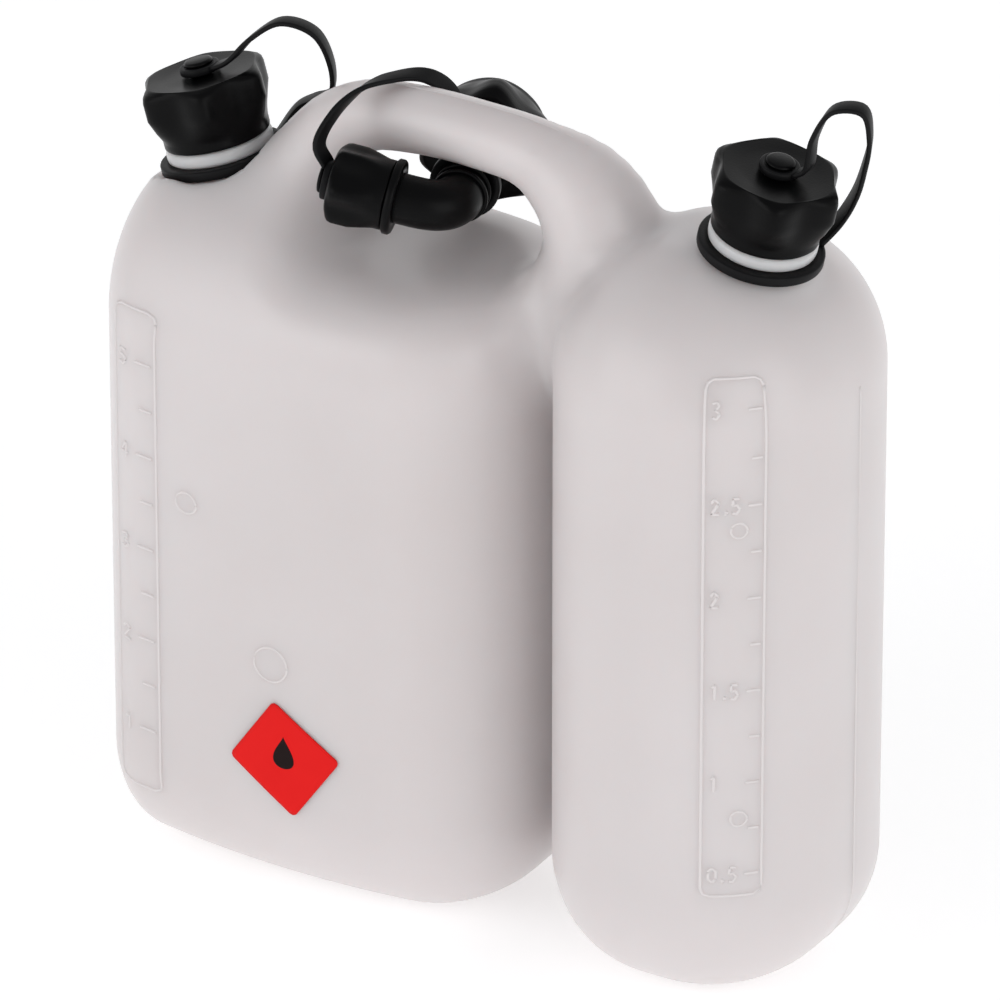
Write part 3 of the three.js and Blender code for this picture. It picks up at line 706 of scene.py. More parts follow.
@dataclass(frozen=True)
class Finish:
    """One material: two near colours that a cloudy mask mixes, and how it takes light."""

    name: str
    dark: tuple[float, float, float]
    light: tuple[float, float, float]
    rough_low: float
    rough_high: float
    cloud: float
    grain: float
    bump: float
    depth: Depth = Depth.SURFACE
    specular: float = 0.5
    scatter: float = 0.65
    scatter_reach: tuple[float, float, float] = (0.024, 0.019, 0.018)

    def build(self, group: bpy.types.ShaderNodeTree) -> bpy.types.Material:
        """Makes the material.

        Args:
            group: The shared noise group.

        Returns:
            A node material.
        """
        material = bpy.data.materials.new(self.name)
        material.use_nodes = True
        nodes, links = material.node_tree.nodes, material.node_tree.links
        shader = nodes["Principled BSDF"]
        noise = nodes.new("ShaderNodeGroup")
        noise.node_tree = group
        noise.inputs["Cloud scale"].default_value = self.cloud
        noise.inputs["Grain scale"].default_value = self.grain
        noise.inputs["Bump"].default_value = self.bump
        tint = nodes.new("ShaderNodeMix")
        tint.data_type = "RGBA"
        tint.inputs["A"].default_value = (*self.dark, 1)
        tint.inputs["B"].default_value = (*self.light, 1)
        rough = nodes.new("ShaderNodeMapRange")
        rough.inputs["To Min"].default_value = self.rough_low
        rough.inputs["To Max"].default_value = self.rough_high
        links.new(noise.outputs["Mask"], tint.inputs["Factor"])
        links.new(noise.outputs["Mask"], rough.inputs["Value"])
        links.new(tint.outputs["Result"], shader.inputs["Base Color"])
        links.new(rough.outputs["Result"], shader.inputs["Roughness"])
        links.new(noise.outputs["Normal"], shader.inputs["Normal"])
        shader.inputs["Specular IOR Level"].default_value = self.specular
        if self.depth is Depth.INSIDE:
            shader.inputs["Subsurface Weight"].default_value = self.scatter
            shader.inputs["Subsurface Radius"].default_value = self.scatter_reach
            shader.inputs["Subsurface Scale"].default_value = 1.0
        return material


NATURAL = Finish(
    "natural_plastic", (0.585, 0.54, 0.535), (0.68, 0.645, 0.65), 0.26, 0.38, 7.0, 1400.0, 0.05,
    Depth.INSIDE)
# Same plastic as the body, without inside scatter; its paler colour is a painted highlight on the raised
# lines, seam and marks.
RIDGE_HIGHLIGHT = Finish(
    "ridge_painted_highlight", (0.66, 0.62, 0.62), (0.72, 0.68, 0.68), 0.3, 0.42, 9.0, 1400.0, 0.03, specular=0.3)
BLACK = Finish(
    "black_plastic", (0.0008, 0.0008, 0.001), (0.002, 0.002, 0.0022), 0.26, 0.38, 60.0, 1200.0, 0.1,
    specular=0.09)
STRAP = Finish(
    "strap_plastic", (0.003, 0.003, 0.0035), (0.006, 0.006, 0.0065), 0.4, 0.55, 80.0, 1500.0, 0.12,
    specular=0.13)
SEAL = Finish(
    "seal_rubber", (0.02, 0.02, 0.022), (0.03, 0.03, 0.032), 0.7, 0.85, 80.0, 1500.0, 0.2)
RED = Finish(
    "label_red", (0.68, 0.008, 0.008), (0.74, 0.012, 0.011), 0.45, 0.55, 50.0, 900.0, 0.03, specular=0.08)
INK = Finish(
    "label_ink", (0.006, 0.002, 0.002), (0.012, 0.004, 0.004), 0.45, 0.55, 50.0, 900.0, 0.02, specular=0.1)


DIGIT_STROKES = {
    "0": ((0.5, 0), (0.88, 0.25), (0.88, 0.75), (0.5, 1), (0.12, 0.75), (0.12, 0.25), (0.5, 0)),
    "1": ((0.3, 0.8), (0.6, 1), (0.6, 0)),
    "2": ((0.1, 0.75), (0.45, 1), (0.85, 0.75), (0.1, 0), (0.9, 0)),
    "3": ((0.1, 0.9), (0.6, 1), (0.8, 0.75), (0.4, 0.55), (0.85, 0.3), (0.5, 0), (0.1, 0.1)),
    "4": ((0.7, 0), (0.7, 1), (0.1, 0.3), (0.95, 0.3)),
    "5": ((0.85, 1), (0.2, 1), (0.15, 0.55), (0.6, 0.6), (0.88, 0.3), (0.55, 0), (0.1, 0.08)),
    ".": ((0.2, 0.02), (0.7, 0.02), (0.7, 0.14), (0.2, 0.14)),
}


@dataclass
class Scale:
    """Raised volume marks on a corner of a tank, laid out by bearing and height."""

    name: str
    tank: Tank
    left: float
    right: float
    low: float
    high: float
    first: float
    pitch: float
    labels: tuple[str, ...]
    corner: float = 3.5
    corner_points: int = 5
    tick_inset: float = 1.2
    long_tick: float = 5.2
    short_tick: float = 4.0
    digit_inset: float = 2.4
    digit_wide: float = 3.6
    digit_high: float = 6.5
    digit_gap: float = 1.1
    point_share: float = 0.45
    top_clearance: float = 4.0
    ridge: float = 0.75
    sink: float = 0.42
    least_points: int = 26
    point_pitch: float = 2.5

    @property
    def per_mm(self) -> float:
        """Degrees of bearing for a millimetre along the tank's corner."""
        radius = (self.tank.right - self.tank.left) / 2 if self.tank.left > 0 else BODY_HIGH[1]
        return math.degrees(1 / radius)

    def outline(self) -> np.ndarray:
        """The scale's frame, a rectangle with round corners.

        Returns:
            Its [bearing, height] points.
        """
        half_wide = (self.right - self.left) / 2 / self.per_mm
        points = rounded_outline(half_wide, (self.high - self.low) / 2, self.corner, self.corner_points)
        return points * [self.per_mm, 1] + [(self.left + self.right) / 2, (self.low + self.high) / 2]

    def lines(self) -> list[np.ndarray]:
        """All lines of the scale.

        Returns:
            One [bearing, height] polyline for the frame, each tick and each stroke.
        """
        out = [self.outline()]
        edge = self.right - self.tick_inset
        for n, label in enumerate(self.labels):
            z = self.first + n * self.pitch
            out.append(np.array([(edge, z), (edge - self.long_tick * self.per_mm, z)]))
            half = z + self.pitch / 2
            if half < self.high - self.top_clearance:
                out.append(np.array([(edge, half), (edge - self.short_tick * self.per_mm, half)]))
            at = self.left + self.digit_inset * self.per_mm
            for sign in label:
                stroke = np.array(DIGIT_STROKES[sign])
                wide = self.digit_wide * (self.point_share if sign == "." else 1)
                across = at + stroke[:, 0] * wide * self.per_mm
                up = z - self.digit_high / 2 + stroke[:, 1] * self.digit_high
                out.append(np.stack([across, up], -1))
                at += (wide + self.digit_gap) * self.per_mm
        return out

    def build(self, skin: CanSkin, material: bpy.types.Material) -> None:
        """Makes the ridges as one piece.

        Args:
            skin: The skin that they lie on.
            material: Finish of the ridges, paler than the body as a painted highlight.
        """
        parts = []
        for line in self.lines():
            length = np.linalg.norm(np.diff(line, axis=0), axis=1).sum()
            fine = even(line, max(self.least_points, int(length / self.point_pitch)))
            turn = np.radians(fine[:, 0])
            start = np.stack([np.full(len(fine), self.tank.middle), np.zeros(len(fine)), fine[:, 1]], -1)
            way = np.stack([np.cos(turn), np.sin(turn), np.zeros(len(fine))], -1)
            on = skin.cast(start, way)
            parts.append(MeshKit.tube(on - way * self.sink, self.ridge, LINE_SIDES))
        points, faces = MeshKit.gather(parts)
        MeshKit.add(self.name, points, faces, material)


@dataclass
class CanPiece:
    """The moulded can: skin, neck sleeves, seam and small moulding marks.

    A seam sweep holds X and Z of its centre and its first and last angle. A mark holds its tank,
    its bearing, its height and its radius.
    """

    skin: CanSkin
    material: bpy.types.Material
    # Finish of the seam and marks: paler than the body as a painted highlight.
    ridge: bpy.types.Material
    line_radius: float = 0.7
    line_sink: float = 0.48
    groove_foot: float = -6.0
    sleeve_foot: float = -17.0
    seam_sweeps: tuple[tuple[float, float, float, float], ...] = (
        (OIL.middle, 200.0, 47.0, -88.0), (FUEL.middle - 30, 190.0, 143.0, 262.0))
    sweep_points: int = 90
    seam_points: int = 120
    bar_first: int = 3
    bar_end: int = 22
    mark_points: int = 37
    end_reach: float = 260.0
    handle_reach: float = 60.0
    marks_at: tuple[tuple[Tank, float, float, float], ...] = (
        (OIL, -54.4, 221.2, 3.2), (OIL, -53.6, 94.2, 3.2),
        (FUEL, -121.6, 172.8, 4.5), (FUEL, -90.1, 112.2, 7.5))

    def build(self) -> None:
        """Makes every piece of the can."""
        points, faces = self.skin.mesh(SKIN_STEP)
        obj = MeshKit.add("can_skin", points, faces.tolist(), self.material)
        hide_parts("can_body")
        for name, neck in (("fuel_neck", FUEL_NECK), ("oil_neck", OIL_NECK)):
            self.sleeve(name, neck)
        self.seam()
        self.marks()

    def sleeve(self, name: str, neck: Neck) -> None:
        """Neck above its seat: ring groove, bead and open mouth.

        Args:
            name: Name of the piece.
            neck: The neck that it stands on.
        """
        profile = [
            [NECK_BORE, self.sleeve_foot], [SEAT_RADIUS, self.groove_foot], [SEAT_RADIUS, BEAD_LOW],
            [BEAD_RADIUS - 0.9, BEAD_LOW], [BEAD_RADIUS - 0.2, BEAD_LOW + 0.5],
            [BEAD_RADIUS, BEAD_LOW + 1.4], [BEAD_RADIUS, BEAD_HIGH - 1.8],
            [BEAD_RADIUS - 0.5, BEAD_HIGH - 0.6], [BEAD_RADIUS - 1.6, BEAD_HIGH], [NECK_RADIUS, BEAD_HIGH],
            [NECK_RADIUS, NECK_LENGTH - 0.7], [NECK_RADIUS - 0.7, NECK_LENGTH], [NECK_BORE, NECK_LENGTH],
        ]
        points, faces = MeshKit.revolve(profile, NECK_ROUND)
        MeshKit.add(name, MeshKit.moved(points, neck.place), faces, self.material)

    def seam(self) -> None:
        """Fine parting line on the can's mid-plane, at both ends and over the handle."""
        runs = []
        for centre_x, centre_z, first, last in self.seam_sweeps:
            turn = np.radians(np.linspace(first, last, self.sweep_points))
            start = np.tile([centre_x, 0, centre_z], (len(turn), 1))
            way = np.stack([np.cos(turn), np.zeros(len(turn)), np.sin(turn)], -1)
            runs.append(self.skin.cast(start, way, self.end_reach) - way * self.line_sink)
        bar = self.skin.handle_places[self.bar_first:self.bar_end]
        middle = np.stack([bar[:, 0], np.zeros(len(bar)), bar[:, 1]], -1)
        run = np.gradient(middle, axis=0)
        way = np.stack([-run[:, 2], np.zeros(len(bar)), run[:, 0]], -1)
        way /= np.linalg.norm(way, axis=1)[:, None]
        runs.append(self.skin.cast(middle, way, self.handle_reach) - way * self.line_sink)
        points, faces = MeshKit.gather([
            MeshKit.tube(even(run, self.seam_points), self.line_radius, LINE_SIDES) for run in runs])
        MeshKit.add("parting_seam", points, faces, self.ridge)

    def marks(self) -> None:
        """Round vent marks on the oil tank, and the mould's round insert marks on the fuel tank."""
        parts = []
        for tank, bearing, height, radius in self.marks_at:
            turn = math.radians(bearing)
            way = np.array([math.cos(turn), math.sin(turn), 0])
            angle = np.linspace(0, 2 * math.pi, self.mark_points)
            side = np.array([-way[1], way[0], 0])
            ring = np.array([tank.middle, 0, height]) + radius * (
                np.cos(angle)[:, None] * side + np.sin(angle)[:, None] * np.array([0, 0, 1]))
            on = self.skin.cast(ring, np.tile(way, (len(ring), 1)))
            parts.append(MeshKit.tube(on - way * self.line_sink, self.line_radius, LINE_SIDES))
        points, faces = MeshKit.gather(parts)
        MeshKit.add("mould_marks", points, faces, self.ridge)


@dataclass
class ScrewCap:
    """Star cap with its pin, on a neck frame."""

    name: str
    node: str
    body: str
    place: np.ndarray
    wide: float
    skirt: float
    height: float
    inner: float
    depth: float
    foot: float

    def build(self, material: bpy.types.Material) -> None:
        """Makes the cap's shell with its pin and head in one piece.

        Args:
            material: Finish of the cap.
        """
        h, w, s = self.height, self.wide, self.skirt
        shell = MeshKit.revolve([
            [0, self.depth], [self.inner, self.depth], [self.inner, 0], [s - 0.6, 0], [s, 0.6], [s, h * 0.14],
            [s + (w - s) * 0.55, h * 0.34], [w, h * 0.56], [w, h * 0.84], [w - 0.5, h * 0.91],
            [w - 1.6, h * 0.955], [w - 4, h], [w - 6.5, h * 0.995], [w * 0.5, h * 0.975], [0, h * 0.975],
        ], CAP_ROUND, CAP_LOBES, CAP_FLUTE, s * FLUTE_START, w, smooth=SECTION_STEPS)
        head = h + EYE_THICK + 0.6
        pin = MeshKit.revolve([
            [0, h - 1.5], [PIN_RADIUS, h - 1.5], [PIN_RADIUS, head], [PIN_HEAD_RADIUS, head],
            [PIN_HEAD_RADIUS, head + 0.8], [PIN_HEAD_RADIUS - 0.4, head + 1.3],
            [PIN_HEAD_RADIUS - 1.2, head + 1.6], [0, head + 1.6],
        ], PIN_ROUND)
        points, faces = MeshKit.gather([shell, pin])
        points = points + np.array([0, 0, self.foot])
        obj = MeshKit.add(self.name, MeshKit.moved(points, self.place), faces, material, self.body)
        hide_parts(self.node)


BAND_CROSS = ((-1, -0.35), (-0.93, -0.8), (-0.8, -1), (0.8, -1), (0.93, -0.8), (1, -0.35),
              (1, 0.35), (0.93, 0.8), (0.8, 1), (-0.8, 1), (-0.93, 0.8), (-1, 0.35))


@dataclass
class Strap:
    """Retaining strap: a ring, a flat band and an eye, made as one fixed piece."""

    name: str
    node: str
    body: str
    eye: np.ndarray
    ring: np.ndarray
    eye_low: float
    ring_size: tuple[float, float, float, float]
    path: np.ndarray
    width_from: np.ndarray
    width_to: np.ndarray
    width: float = STRAP_WIDTH
    steps: int = 72
    curve_steps: int = 400

    def band(self) -> tuple[np.ndarray, list]:
        """Flat band along the path, turning evenly from one width direction to the other.

        Returns:
            Points and faces.
        """
        path = even(catmull(self.path, self.curve_steps), self.steps + 1)
        tangent = np.gradient(path, axis=0)
        tangent /= np.linalg.norm(tangent, axis=1)[:, None]
        share = np.linspace(0, 1, len(path))[:, None]
        side = self.width_from * (1 - share) + self.width_to * share
        side = side - np.sum(side * tangent, axis=1)[:, None] * tangent
        side /= np.linalg.norm(side, axis=1)[:, None]
        rise = np.cross(tangent, side)
        rings = [path + side * u * self.width / 2 + rise * v * STRAP_THICK / 2 for u, v in BAND_CROSS]
        return MeshKit.loft(np.stack(rings, 1))

    @staticmethod
    def washer(inner: float, outer: float, low: float, high: float) -> tuple[np.ndarray, list]:
        """Flat ring with softened outside edges.

        Args:
            inner: Radius of the hole.
            outer: Outside radius.
            low: Height of the lower face.
            high: Height of the upper face.

        Returns:
            Points and faces.
        """
        soft = WASHER_EDGE
        return MeshKit.revolve([
            [inner, low], [outer - soft, low], [outer - soft * 0.3, low + soft * 0.3], [outer, low + soft],
            [outer, high - soft], [outer - soft * 0.3, high - soft * 0.3], [outer - soft, high],
            [inner, high],
        ], ROUND)

    def build(self, material: bpy.types.Material) -> None:
        """Makes the strap as one piece.

        Args:
            material: Finish of the strap.
        """
        eye_points, eye_faces = self.washer(EYE_HOLE, EYE_RADIUS, self.eye_low, self.eye_low + EYE_THICK)
        ring_points, ring_faces = self.washer(*self.ring_size)
        points, faces = MeshKit.gather([
            (MeshKit.moved(eye_points, self.eye), eye_faces),
            (MeshKit.moved(ring_points, self.ring), ring_faces),
            self.band(),
        ])
        obj = MeshKit.add(self.name, points, faces, material, None)
        ring_spot = MeshKit.moved(np.array([[0, 0, self.ring_size[3] + 1]]), self.ring)[0]
        eye_spot = MeshKit.moved(np.array([[0, 0, self.eye_low - 1]]), self.eye)[0]
        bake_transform(obj)
        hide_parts(self.node)


FUEL_ROUTE = ((14, 1, EYE_LOW + 3.5), (26, 4, 49.5), (39, 8, 54), (49, 13, 47), (50, 17, 32), (44, 20, 19),
              (34, 21.5, 16), (26, 21, 13))
OIL_ROUTE = ((11, 1, EYE_LOW + 5.5), (10.5, 2, 57), (15, 4, 71), (25, 8, 73.5), (29, 11, 62), (28, 15, 45),
             (24.5, 20, 28), (19.5, 21.5, 13))


@dataclass
class NeckFittings:
    """Cap, strap and gasket of one tank, with the strap's route in the neck's frame."""

    prefix: str
    neck: Neck
    route: tuple[tuple[float, float, float], ...]
    ring_reach: float = (SEAT_RADIUS + RING_RADIUS) / 2 + 0.4
    ring_height: float = 4.0

    def build(self, black: bpy.types.Material, strap: bpy.types.Material, seal: bpy.types.Material) -> None:
        """Makes the cap and the strap, and finishes the gasket.

        Args:
            black: Finish of the cap.
            strap: Finish of the strap.
            seal: Finish of the gasket.
        """
        place = self.neck.place
        cap = self.prefix + "_cap"
        ScrewCap(self.prefix + "_star_cap", cap, cap, place, CAP_RADIUS, CAP_SKIRT, CAP_HEIGHT,
                 NECK_RADIUS + CAP_FIT, CAP_HEIGHT - CAP_ROOF, CAP_FOOT).build(black)
        end = np.array(self.route[-1], float)
        way = end[:2] / np.hypot(*end[:2])
        start = [EYE_REACH, 0, EYE_LOW + EYE_THICK / 2]
        finish = [*(way * self.ring_reach), self.ring_height]
        path = MeshKit.moved(np.array([start, *self.route, finish], float), place)
        turn = place[:3, :3]
        body = self.prefix + "_strap"
        Strap(body, cap + "_strap", body, place, place, EYE_LOW,
              (RING_HOLE, RING_RADIUS, RING_LOW, RING_HIGH), path, turn @ np.array([0, 1, 0]),
              turn @ np.array([-way[1], way[0], 0])).build(strap)
        Fittings.finish_node(cap + "_gasket", seal)


class Fittings:
    """What the fittings share."""

    @staticmethod
    def finish_node(name: str, material: bpy.types.Material) -> None:
        """Gives a CAD node that stays in view its finish.

        Args:
            name: Name of the node.
            material: Its finish.
        """
        node = frame["nodes"][name]
        node.data.materials.clear()
        node.data.materials.append(material)

    @staticmethod
    def frame_at(spot: np.ndarray, way: np.ndarray) -> np.ndarray:
        """4x4 matrix at a spot whose Z runs along a way.

        Args:
            spot: The origin.
            way: The Z direction.

        Returns:
            The matrix, in millimetres.
        """
        turn = Vector((0, 0, 1)).rotation_difference(Vector(way)).to_matrix().to_4x4()
        matrix = np.array(turn)
        matrix[:3, 3] = spot
        return matrix


@dataclass
class Spout:
    """The pouring spout, stowed through the finger opening, with its nut, tip cap and strap.

    Its start, elbow, end and strap route are taken from the fuel tank's end and top. The drip rings
    and the collar stand at shares of the middle line and of the run behind the elbow.
    """

    start: tuple[float, float, float] = (132.5, -29, 11)
    elbow: tuple[float, float, float] = (155.0, -22, 7)
    end: tuple[float, float, float] = (136.0, 34, 6)
    route: tuple[tuple[float, float, float], ...] = (
        (104.5, -37.5, 30), (106, -29, 39.5), (110, -16, 45.5), (116, -4, 47.2), (125, 9, 45), (132, 19, 34))
    base_cone: tuple[tuple[float, float], ...] = (
        (SPOUT_BORE, -8), (SPOUT_RADIUS + 1, -8), (SPOUT_RADIUS + 2, -4), (SPOUT_RADIUS + 3, 0))
    flange: float = 17.3
    flange_thick: float = 3.0
    tip_rim: tuple[tuple[float, float], ...] = (
        (SPOUT_BORE, -2.5), (13, -2.5), (14.4, -2.2), (15, -1.5), (15, 0.5), (14.4, 1))
    tip_neck: float = 11.5
    tip_length: float = 18.0
    tip_foot: float = 1.3
    tip_gasket_room: float = 2.6
    tip_cap_radius: float = 16.5
    tip_cap_height: float = 23.0
    tip_cap_step: float = 2.5
    nut_height: float = 22.0
    nut_drop: float = 3.3
    nut_lip: float = SPOUT_RADIUS + 4.2
    drip_rings: tuple[float, ...] = (0.42, 0.49)
    drip_reach: float = 1.3
    line_steps: int = 100
    collar_share: float = 0.22
    collar_gap: float = 0.3
    collar_reach: float = 4.0
    collar_half: float = 2.0
    strap_rise: float = 2.4
    strap_across: tuple[float, float, float] = (0.1, 0.99, 0)
    tube_rings: int = 49
    tube_around: int = 48
    tip: np.ndarray = field(init=False)
    base: np.ndarray = field(init=False)
    line: np.ndarray = field(init=False)
    on: np.ndarray = field(init=False)
    bend_end: np.ndarray = field(init=False)

    def __post_init__(self) -> None:
        """Sets the two ends' frames and the middle line with its rounded elbow."""
        start, elbow, end = (self.over_fuel(spot) for spot in (self.start, self.elbow, self.end))
        back = (start - elbow) / np.linalg.norm(start - elbow)
        self.on = (end - elbow) / np.linalg.norm(end - elbow)
        self.tip = Fittings.frame_at(start, back)
        self.base = Fittings.frame_at(end, self.on)
        self.bend_end = elbow + self.on * ELBOW_RADIUS
        t = np.linspace(0, 1, 25)[:, None]
        arc = (1 - t) ** 2 * (elbow + back * ELBOW_RADIUS) + 2 * t * (1 - t) * elbow + t ** 2 * self.bend_end
        self.line = np.vstack([start, arc, end])

    @staticmethod
    def over_fuel(spot: tuple) -> np.ndarray:
        """Places given from the fuel tank's end and top, in the can's frame."""
        return np.array(spot, float) + [FUEL.left, 0, FUEL.top]

    def rings(self, radius: float) -> np.ndarray:
        """Rings of the tube along its middle line.

        Args:
            radius: Radius of the rings.

        Returns:
            Array of ring, place on the ring, coordinate.
        """
        path = even(self.line, self.tube_rings)
        tangent = np.gradient(path, axis=0)
        tangent /= np.linalg.norm(tangent, axis=1)[:, None]
        side = np.cross([0, 0, 1], tangent)
        side /= np.linalg.norm(side, axis=1)[:, None]
        rise = np.cross(tangent, side)
        angle = np.linspace(0, 2 * math.pi, self.tube_around, endpoint=False)
        return path[:, None] + radius * (side[:, None] * np.cos(angle)[None, :, None]
                                         + rise[:, None] * np.sin(angle)[None, :, None])

    def build(self, black: bpy.types.Material, strap: bpy.types.Material, seal: bpy.types.Material) -> None:
        """Makes every piece of the spout.

        Args:
            black: Finish of the tube, nut and cap.
            strap: Finish of the strap.
            seal: Finish of the gaskets.
        """
        walls = np.concatenate([self.rings(SPOUT_RADIUS), self.rings(SPOUT_BORE)[::-1]])
        tip_neck = MeshKit.revolve([
            *self.tip_rim, (self.tip_neck, self.tip_rim[-1][1]), (self.tip_neck, self.tip_length - 0.5),
            (self.tip_neck - 0.5, self.tip_length), (SPOUT_BORE, self.tip_length),
        ], ROUND)
        flange = MeshKit.revolve([
            *self.base_cone, (self.flange, 0), (self.flange, self.flange_thick),
            (SPOUT_BORE, self.flange_thick),
        ], ROUND)
        parts = [
            MeshKit.loft(walls, closed=True),
            (MeshKit.moved(tip_neck[0], self.tip), tip_neck[1]),
            (MeshKit.moved(flange[0], self.base), flange[1]),
        ]
        line = even(self.line, self.line_steps + 1)
        ridge = Strap.washer(SPOUT_RADIUS - 1, SPOUT_RADIUS + self.drip_reach, -1.0, 1.0)
        for share in self.drip_rings:
            at = int(share * self.line_steps)
            spot = line[at]
            way = line[at + 1] - spot
            place = Fittings.frame_at(spot, way / np.linalg.norm(way))
            parts.append((MeshKit.moved(ridge[0], place), ridge[1]))
        points, faces = MeshKit.gather(parts)
        tube = MeshKit.add("spout_pipe", points, faces, black)
        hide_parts("spout_tube")
        self.nut(black)
        depth = self.tip_length - self.tip_foot + self.tip_gasket_room
        ScrewCap("spout_star_cap", "spout_tip_cap", "tip_cap", self.tip, self.tip_cap_radius,
                 self.tip_cap_radius - self.tip_cap_step, self.tip_cap_height, self.tip_neck + CAP_FIT,
                 depth, self.tip_foot).build(black)
        self.strap(strap)
        Fittings.finish_node("spout_gasket", seal)
        Fittings.finish_node("spout_tip_gasket", seal)

    def nut(self, black: bpy.types.Material) -> None:
        """Star nut over the base flange.

        Args:
            black: Finish of the nut.
        """
        h, w, s, inner, lip = self.nut_height, CAP_RADIUS, CAP_SKIRT, NECK_RADIUS + CAP_FIT, self.nut_lip
        points, faces = MeshKit.revolve([
            [lip, 0], [w - 5, 0], [w - 3, h * 0.02], [w - 1.6, h * 0.08], [w - 0.4, h * 0.15], [w, h * 0.22],
            [w, h * 0.5], [s + (w - s) * 0.5, h * 0.74], [s, h * 0.9], [s, h],
            [inner, h], [inner, 3], [lip, 3],
        ], CAP_ROUND, CAP_LOBES, CAP_FLUTE, s * FLUTE_START, w, smooth=SECTION_STEPS)
        points = points - np.array([0, 0, self.nut_drop])
        obj = MeshKit.add("spout_star_nut", MeshKit.moved(points, self.base), faces, black, "spout_nut")
        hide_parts("spout_nut")

    def strap(self, material: bpy.types.Material) -> None:
        """Strap from the tip cap over the handle to the collar on the tube.

        Args:
            material: Finish of the strap.
        """
        eye_low = self.tip_foot + self.tip_cap_height + EYE_GAP
        spot = self.bend_end + (self.over_fuel(self.end) - self.bend_end) * self.collar_share
        collar = Fittings.frame_at(spot, self.on)
        eye = MeshKit.moved(np.array([[0, 0, eye_low + EYE_THICK / 2]]), self.tip)[0]
        start = eye + [0, 0, EYE_REACH]
        finish = spot + [0, 0, SPOUT_RADIUS + self.strap_rise]
        route = self.over_fuel(self.route)
        across = np.array(self.strap_across)
        collar_size = (SPOUT_RADIUS + self.collar_gap, SPOUT_RADIUS + self.collar_reach,
                       -self.collar_half, self.collar_half)
        Strap("spout_cap_strap", "spout_strap", "tip_strap", self.tip, collar, eye_low,
              collar_size, np.vstack([start, route, finish]), across, across, STRAP_WIDTH - 1).build(material)


@dataclass
class Sticker:
    """Plain red sticker with rounded corners, standing on one corner, with a plain drop on it."""

    skin: CanSkin
    side: float = 36.0
    corner: float = 2.2
    x: float = FUEL.left + 104
    z: float = 71.5
    turn: float = 55.3
    lift: float = 0.3
    thick: float = 0.4
    corner_points: int = 8
    edge_points: int = 96
    steps_in: int = 12
    middle_share: float = 0.04
    drop_high: float = 7.2
    drop_up: float = 3.0
    drop_slim: float = 0.95
    drop_taper: float = 1.6
    drop_points: int = 48
    ink_sink: float = 0.05
    ink_thick: float = 0.06

    def sheet(self, name: str, edge: np.ndarray, low: float, high: float, material: bpy.types.Material,
              replaces: str | None) -> None:
        """Thin sheet inside an outline, laid on the front face.

        Args:
            name: Name of the piece.
            edge: Outline about the sticker's centre, one [across, up] pair a row.
            low: Height of its back above the skin.
            high: Height of its front above the skin.
            material: Its finish.
            replaces: CAD node that it stands for.
        """
        count = len(edge)
        shares = np.linspace(1, self.middle_share, self.steps_in)
        rings = [edge * share for share in shares]
        flat = np.vstack(rings)
        starts = np.stack([self.x + flat[:, 0], np.zeros(len(flat)), self.z + flat[:, 1]], -1)
        ways = np.tile([0.0, -1.0, 0.0], (len(flat), 1))
        on = self.skin.cast(starts, ways).reshape(len(shares), count, 3)
        out = np.array([0, -1.0, 0])
        front = on + out * high
        back = on[::-1] + out * low
        points, faces = MeshKit.loft(np.concatenate([back, front]))
        obj = MeshKit.add(name, points, faces, material)
        if replaces:
            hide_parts(replaces)

    def build(self, red: bpy.types.Material, ink: bpy.types.Material) -> None:
        """Makes the sticker and the drop.

        Args:
            red: Finish of the sticker.
            ink: Finish of the drop.
        """
        turn = math.radians(self.turn)
        rotate = np.array([[math.cos(turn), -math.sin(turn)], [math.sin(turn), math.cos(turn)]])
        square = rounded_outline(self.side / 2, self.side / 2, self.corner, self.corner_points)
        outline = even(square, self.edge_points + 1)[:-1] @ rotate.T
        face = self.lift + self.thick
        self.sheet("sticker", outline, self.lift, face, red, "front_label")
        t = np.linspace(0, 2 * math.pi, self.drop_points, endpoint=False)
        across = self.drop_high * self.drop_slim * np.sin(t) * np.sin(t / 2) ** self.drop_taper
        drop = np.stack([across, self.drop_high * np.cos(t) + self.drop_up], -1)[::-1]
        self.sheet("sticker_drop", drop, face - self.ink_sink, face + self.ink_thick, ink, None)


@dataclass(frozen=True)
class SoftBox:
    """One square area light, placed in metres and aimed at a spot on the can's own axis."""

    name: str
    spot: tuple[float, float, float]
    aim_height: float
    power: float
    size: float

    def build(self) -> None:
        """Makes the light."""
        lamp = bpy.data.lights.new(self.name, "AREA")
        lamp.energy = self.power
        lamp.size = self.size
        obj = bpy.data.objects.new(self.name, lamp)
        obj.location = self.spot
        way = Vector((0, 0, self.aim_height)) - Vector(self.spot)
        obj.rotation_euler = way.to_track_quat("-Z", "Y").to_euler()
        bpy.context.scene.collection.objects.link(obj)


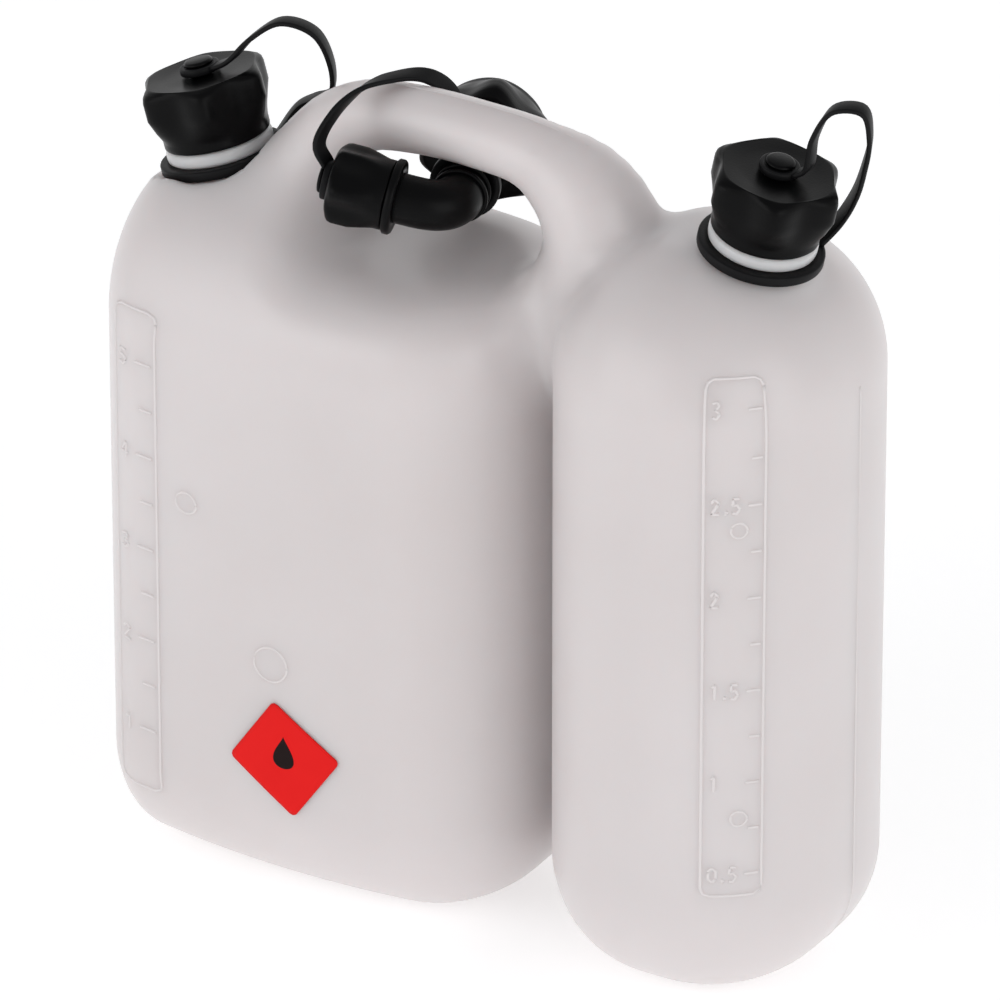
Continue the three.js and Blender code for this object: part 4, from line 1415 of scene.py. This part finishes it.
@dataclass
class Studio:
    """Pale floor, soft lights and the photograph's camera."""

    floor_reach: float = 6.0
    floor_tone: float = 0.93
    floor_rough: float = 0.85
    floor_glow: float = 0.36
    horizon: tuple[float, float, float] = (0.98, 0.98, 0.98)
    zenith: tuple[float, float, float] = (0.5, 0.505, 0.515)
    zenith_from: float = 0.8
    sky_strength: float = 0.97
    boxes: tuple[SoftBox, ...] = (
        SoftBox("key", (-0.9, -1.5, 0.8), 0.15, 7.0, 1.3),
        SoftBox("fill", (1.7, -0.7, 0.7), 0.15, 7.5, 1.4),
        SoftBox("back", (-0.4, 1.8, 0.9), 0.2, 3.0, 1.4),
    )

    def build(self) -> None:
        """Makes the floor, the surroundings, the lights and the camera."""
        self.floor()
        self.surroundings()
        for box in self.boxes:
            box.build()
        self.camera()

    def floor(self) -> None:
        """Plain pale floor."""
        mesh = bpy.data.meshes.new("floor")
        r = self.floor_reach
        corners = [(-r, -r, 0), (r, -r, 0), (r, r, 0), (-r, r, 0)]
        mesh.from_pydata(corners, [], [(0, 1, 2, 3)])
        paint = bpy.data.materials.new("floor_paint")
        paint.use_nodes = True
        shader = paint.node_tree.nodes["Principled BSDF"]
        shader.inputs["Base Color"].default_value = (self.floor_tone, self.floor_tone, self.floor_tone, 1)
        shader.inputs["Roughness"].default_value = self.floor_rough
        shader.inputs["Emission Color"].default_value = (1, 1, 1, 1)
        shader.inputs["Emission Strength"].default_value = self.floor_glow
        mesh.materials.append(paint)
        obj = bpy.data.objects.new("floor", mesh)
        bpy.context.scene.collection.objects.link(obj)

    def surroundings(self) -> None:
        """Near-white surroundings that grow darker towards the zenith."""
        scene = bpy.context.scene
        scene.view_settings.view_transform = "Standard"
        world = bpy.data.worlds.new("studio")
        world.use_nodes = True
        nodes, links = world.node_tree.nodes, world.node_tree.links
        place = nodes.new("ShaderNodeTexCoord")
        split = nodes.new("ShaderNodeSeparateXYZ")
        ramp = nodes.new("ShaderNodeValToRGB")
        low, high = ramp.color_ramp.elements
        low.color = (*self.horizon, 1)
        high.color = (*self.zenith, 1)
        high.position = self.zenith_from
        links.new(place.outputs["Generated"], split.inputs["Vector"])
        links.new(split.outputs["Z"], ramp.inputs["Fac"])
        links.new(ramp.outputs["Color"], nodes["Background"].inputs["Color"])
        nodes["Background"].inputs["Strength"].default_value = self.sky_strength
        scene.world = world

    @staticmethod
    def camera() -> None:
        """Long lens at the photograph's viewing angle."""
        azimuth, elevation = math.radians(CAMERA_AZIMUTH), math.radians(CAMERA_ELEVATION)
        right = Vector((math.cos(azimuth), math.sin(azimuth), 0))
        view = Vector((-math.sin(azimuth) * math.cos(elevation), math.cos(azimuth) * math.cos(elevation),
                       -math.sin(elevation)))
        up = right.cross(view)
        lens = bpy.data.cameras.new("camera")
        lens.lens = CAMERA_LENS
        lens.sensor_width = CAMERA_SENSOR
        lens.clip_end = CAMERA_CLIP
        obj = bpy.data.objects.new("camera", lens)
        obj.matrix_world = Matrix((right, up, -view)).transposed().to_4x4()
        obj.location = (right * CAMERA_ASIDE + up * CAMERA_UP - view * CAMERA_DISTANCE) * MM
        bpy.context.scene.collection.objects.link(obj)
        bpy.context.scene.camera = obj


SCALES = (
    Scale("oil_scale", OIL, -66.3, -45.4, 60.0, 284.0, 69.5, 40.6, ("0.5", "1", "1.5", "2", "2.5", "3")),
    Scale("fuel_scale", FUEL, -144.0, -131.0, 36.0, 250.0, 63.5, 41.0, ("1", "2", "3", "4", "5")),
)


def main() -> None:
    """Builds the looks and logs each mesh's face count."""
    logging.basicConfig(level=logging.INFO)
    group = Effect.noise_mask("cloud_and_grain")
    # ridge is the paler finish that paints a highlight on the raised scale lines, seam and marks.
    natural, ridge, black, strap, seal, red, ink = (
        finish.build(group) for finish in (NATURAL, RIDGE_HIGHLIGHT, BLACK, STRAP, SEAL, RED, INK))
    skin = CanSkin()
    CanPiece(skin, natural, ridge).build()
    for scale in SCALES:
        scale.build(skin, ridge)
    NeckFittings("fuel", FUEL_NECK, FUEL_ROUTE).build(black, strap, seal)
    NeckFittings("oil", OIL_NECK, OIL_ROUTE).build(black, strap, seal)
    Spout().build(black, strap, seal)
    Sticker(skin).build(red, ink)
    Studio().build()
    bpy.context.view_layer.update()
    for piece in bpy.context.scene.objects:
        if piece.type == "MESH":
            log.info("%s: %d faces", piece.name, len(piece.data.polygons))


if __name__ == "__main__":
    main()
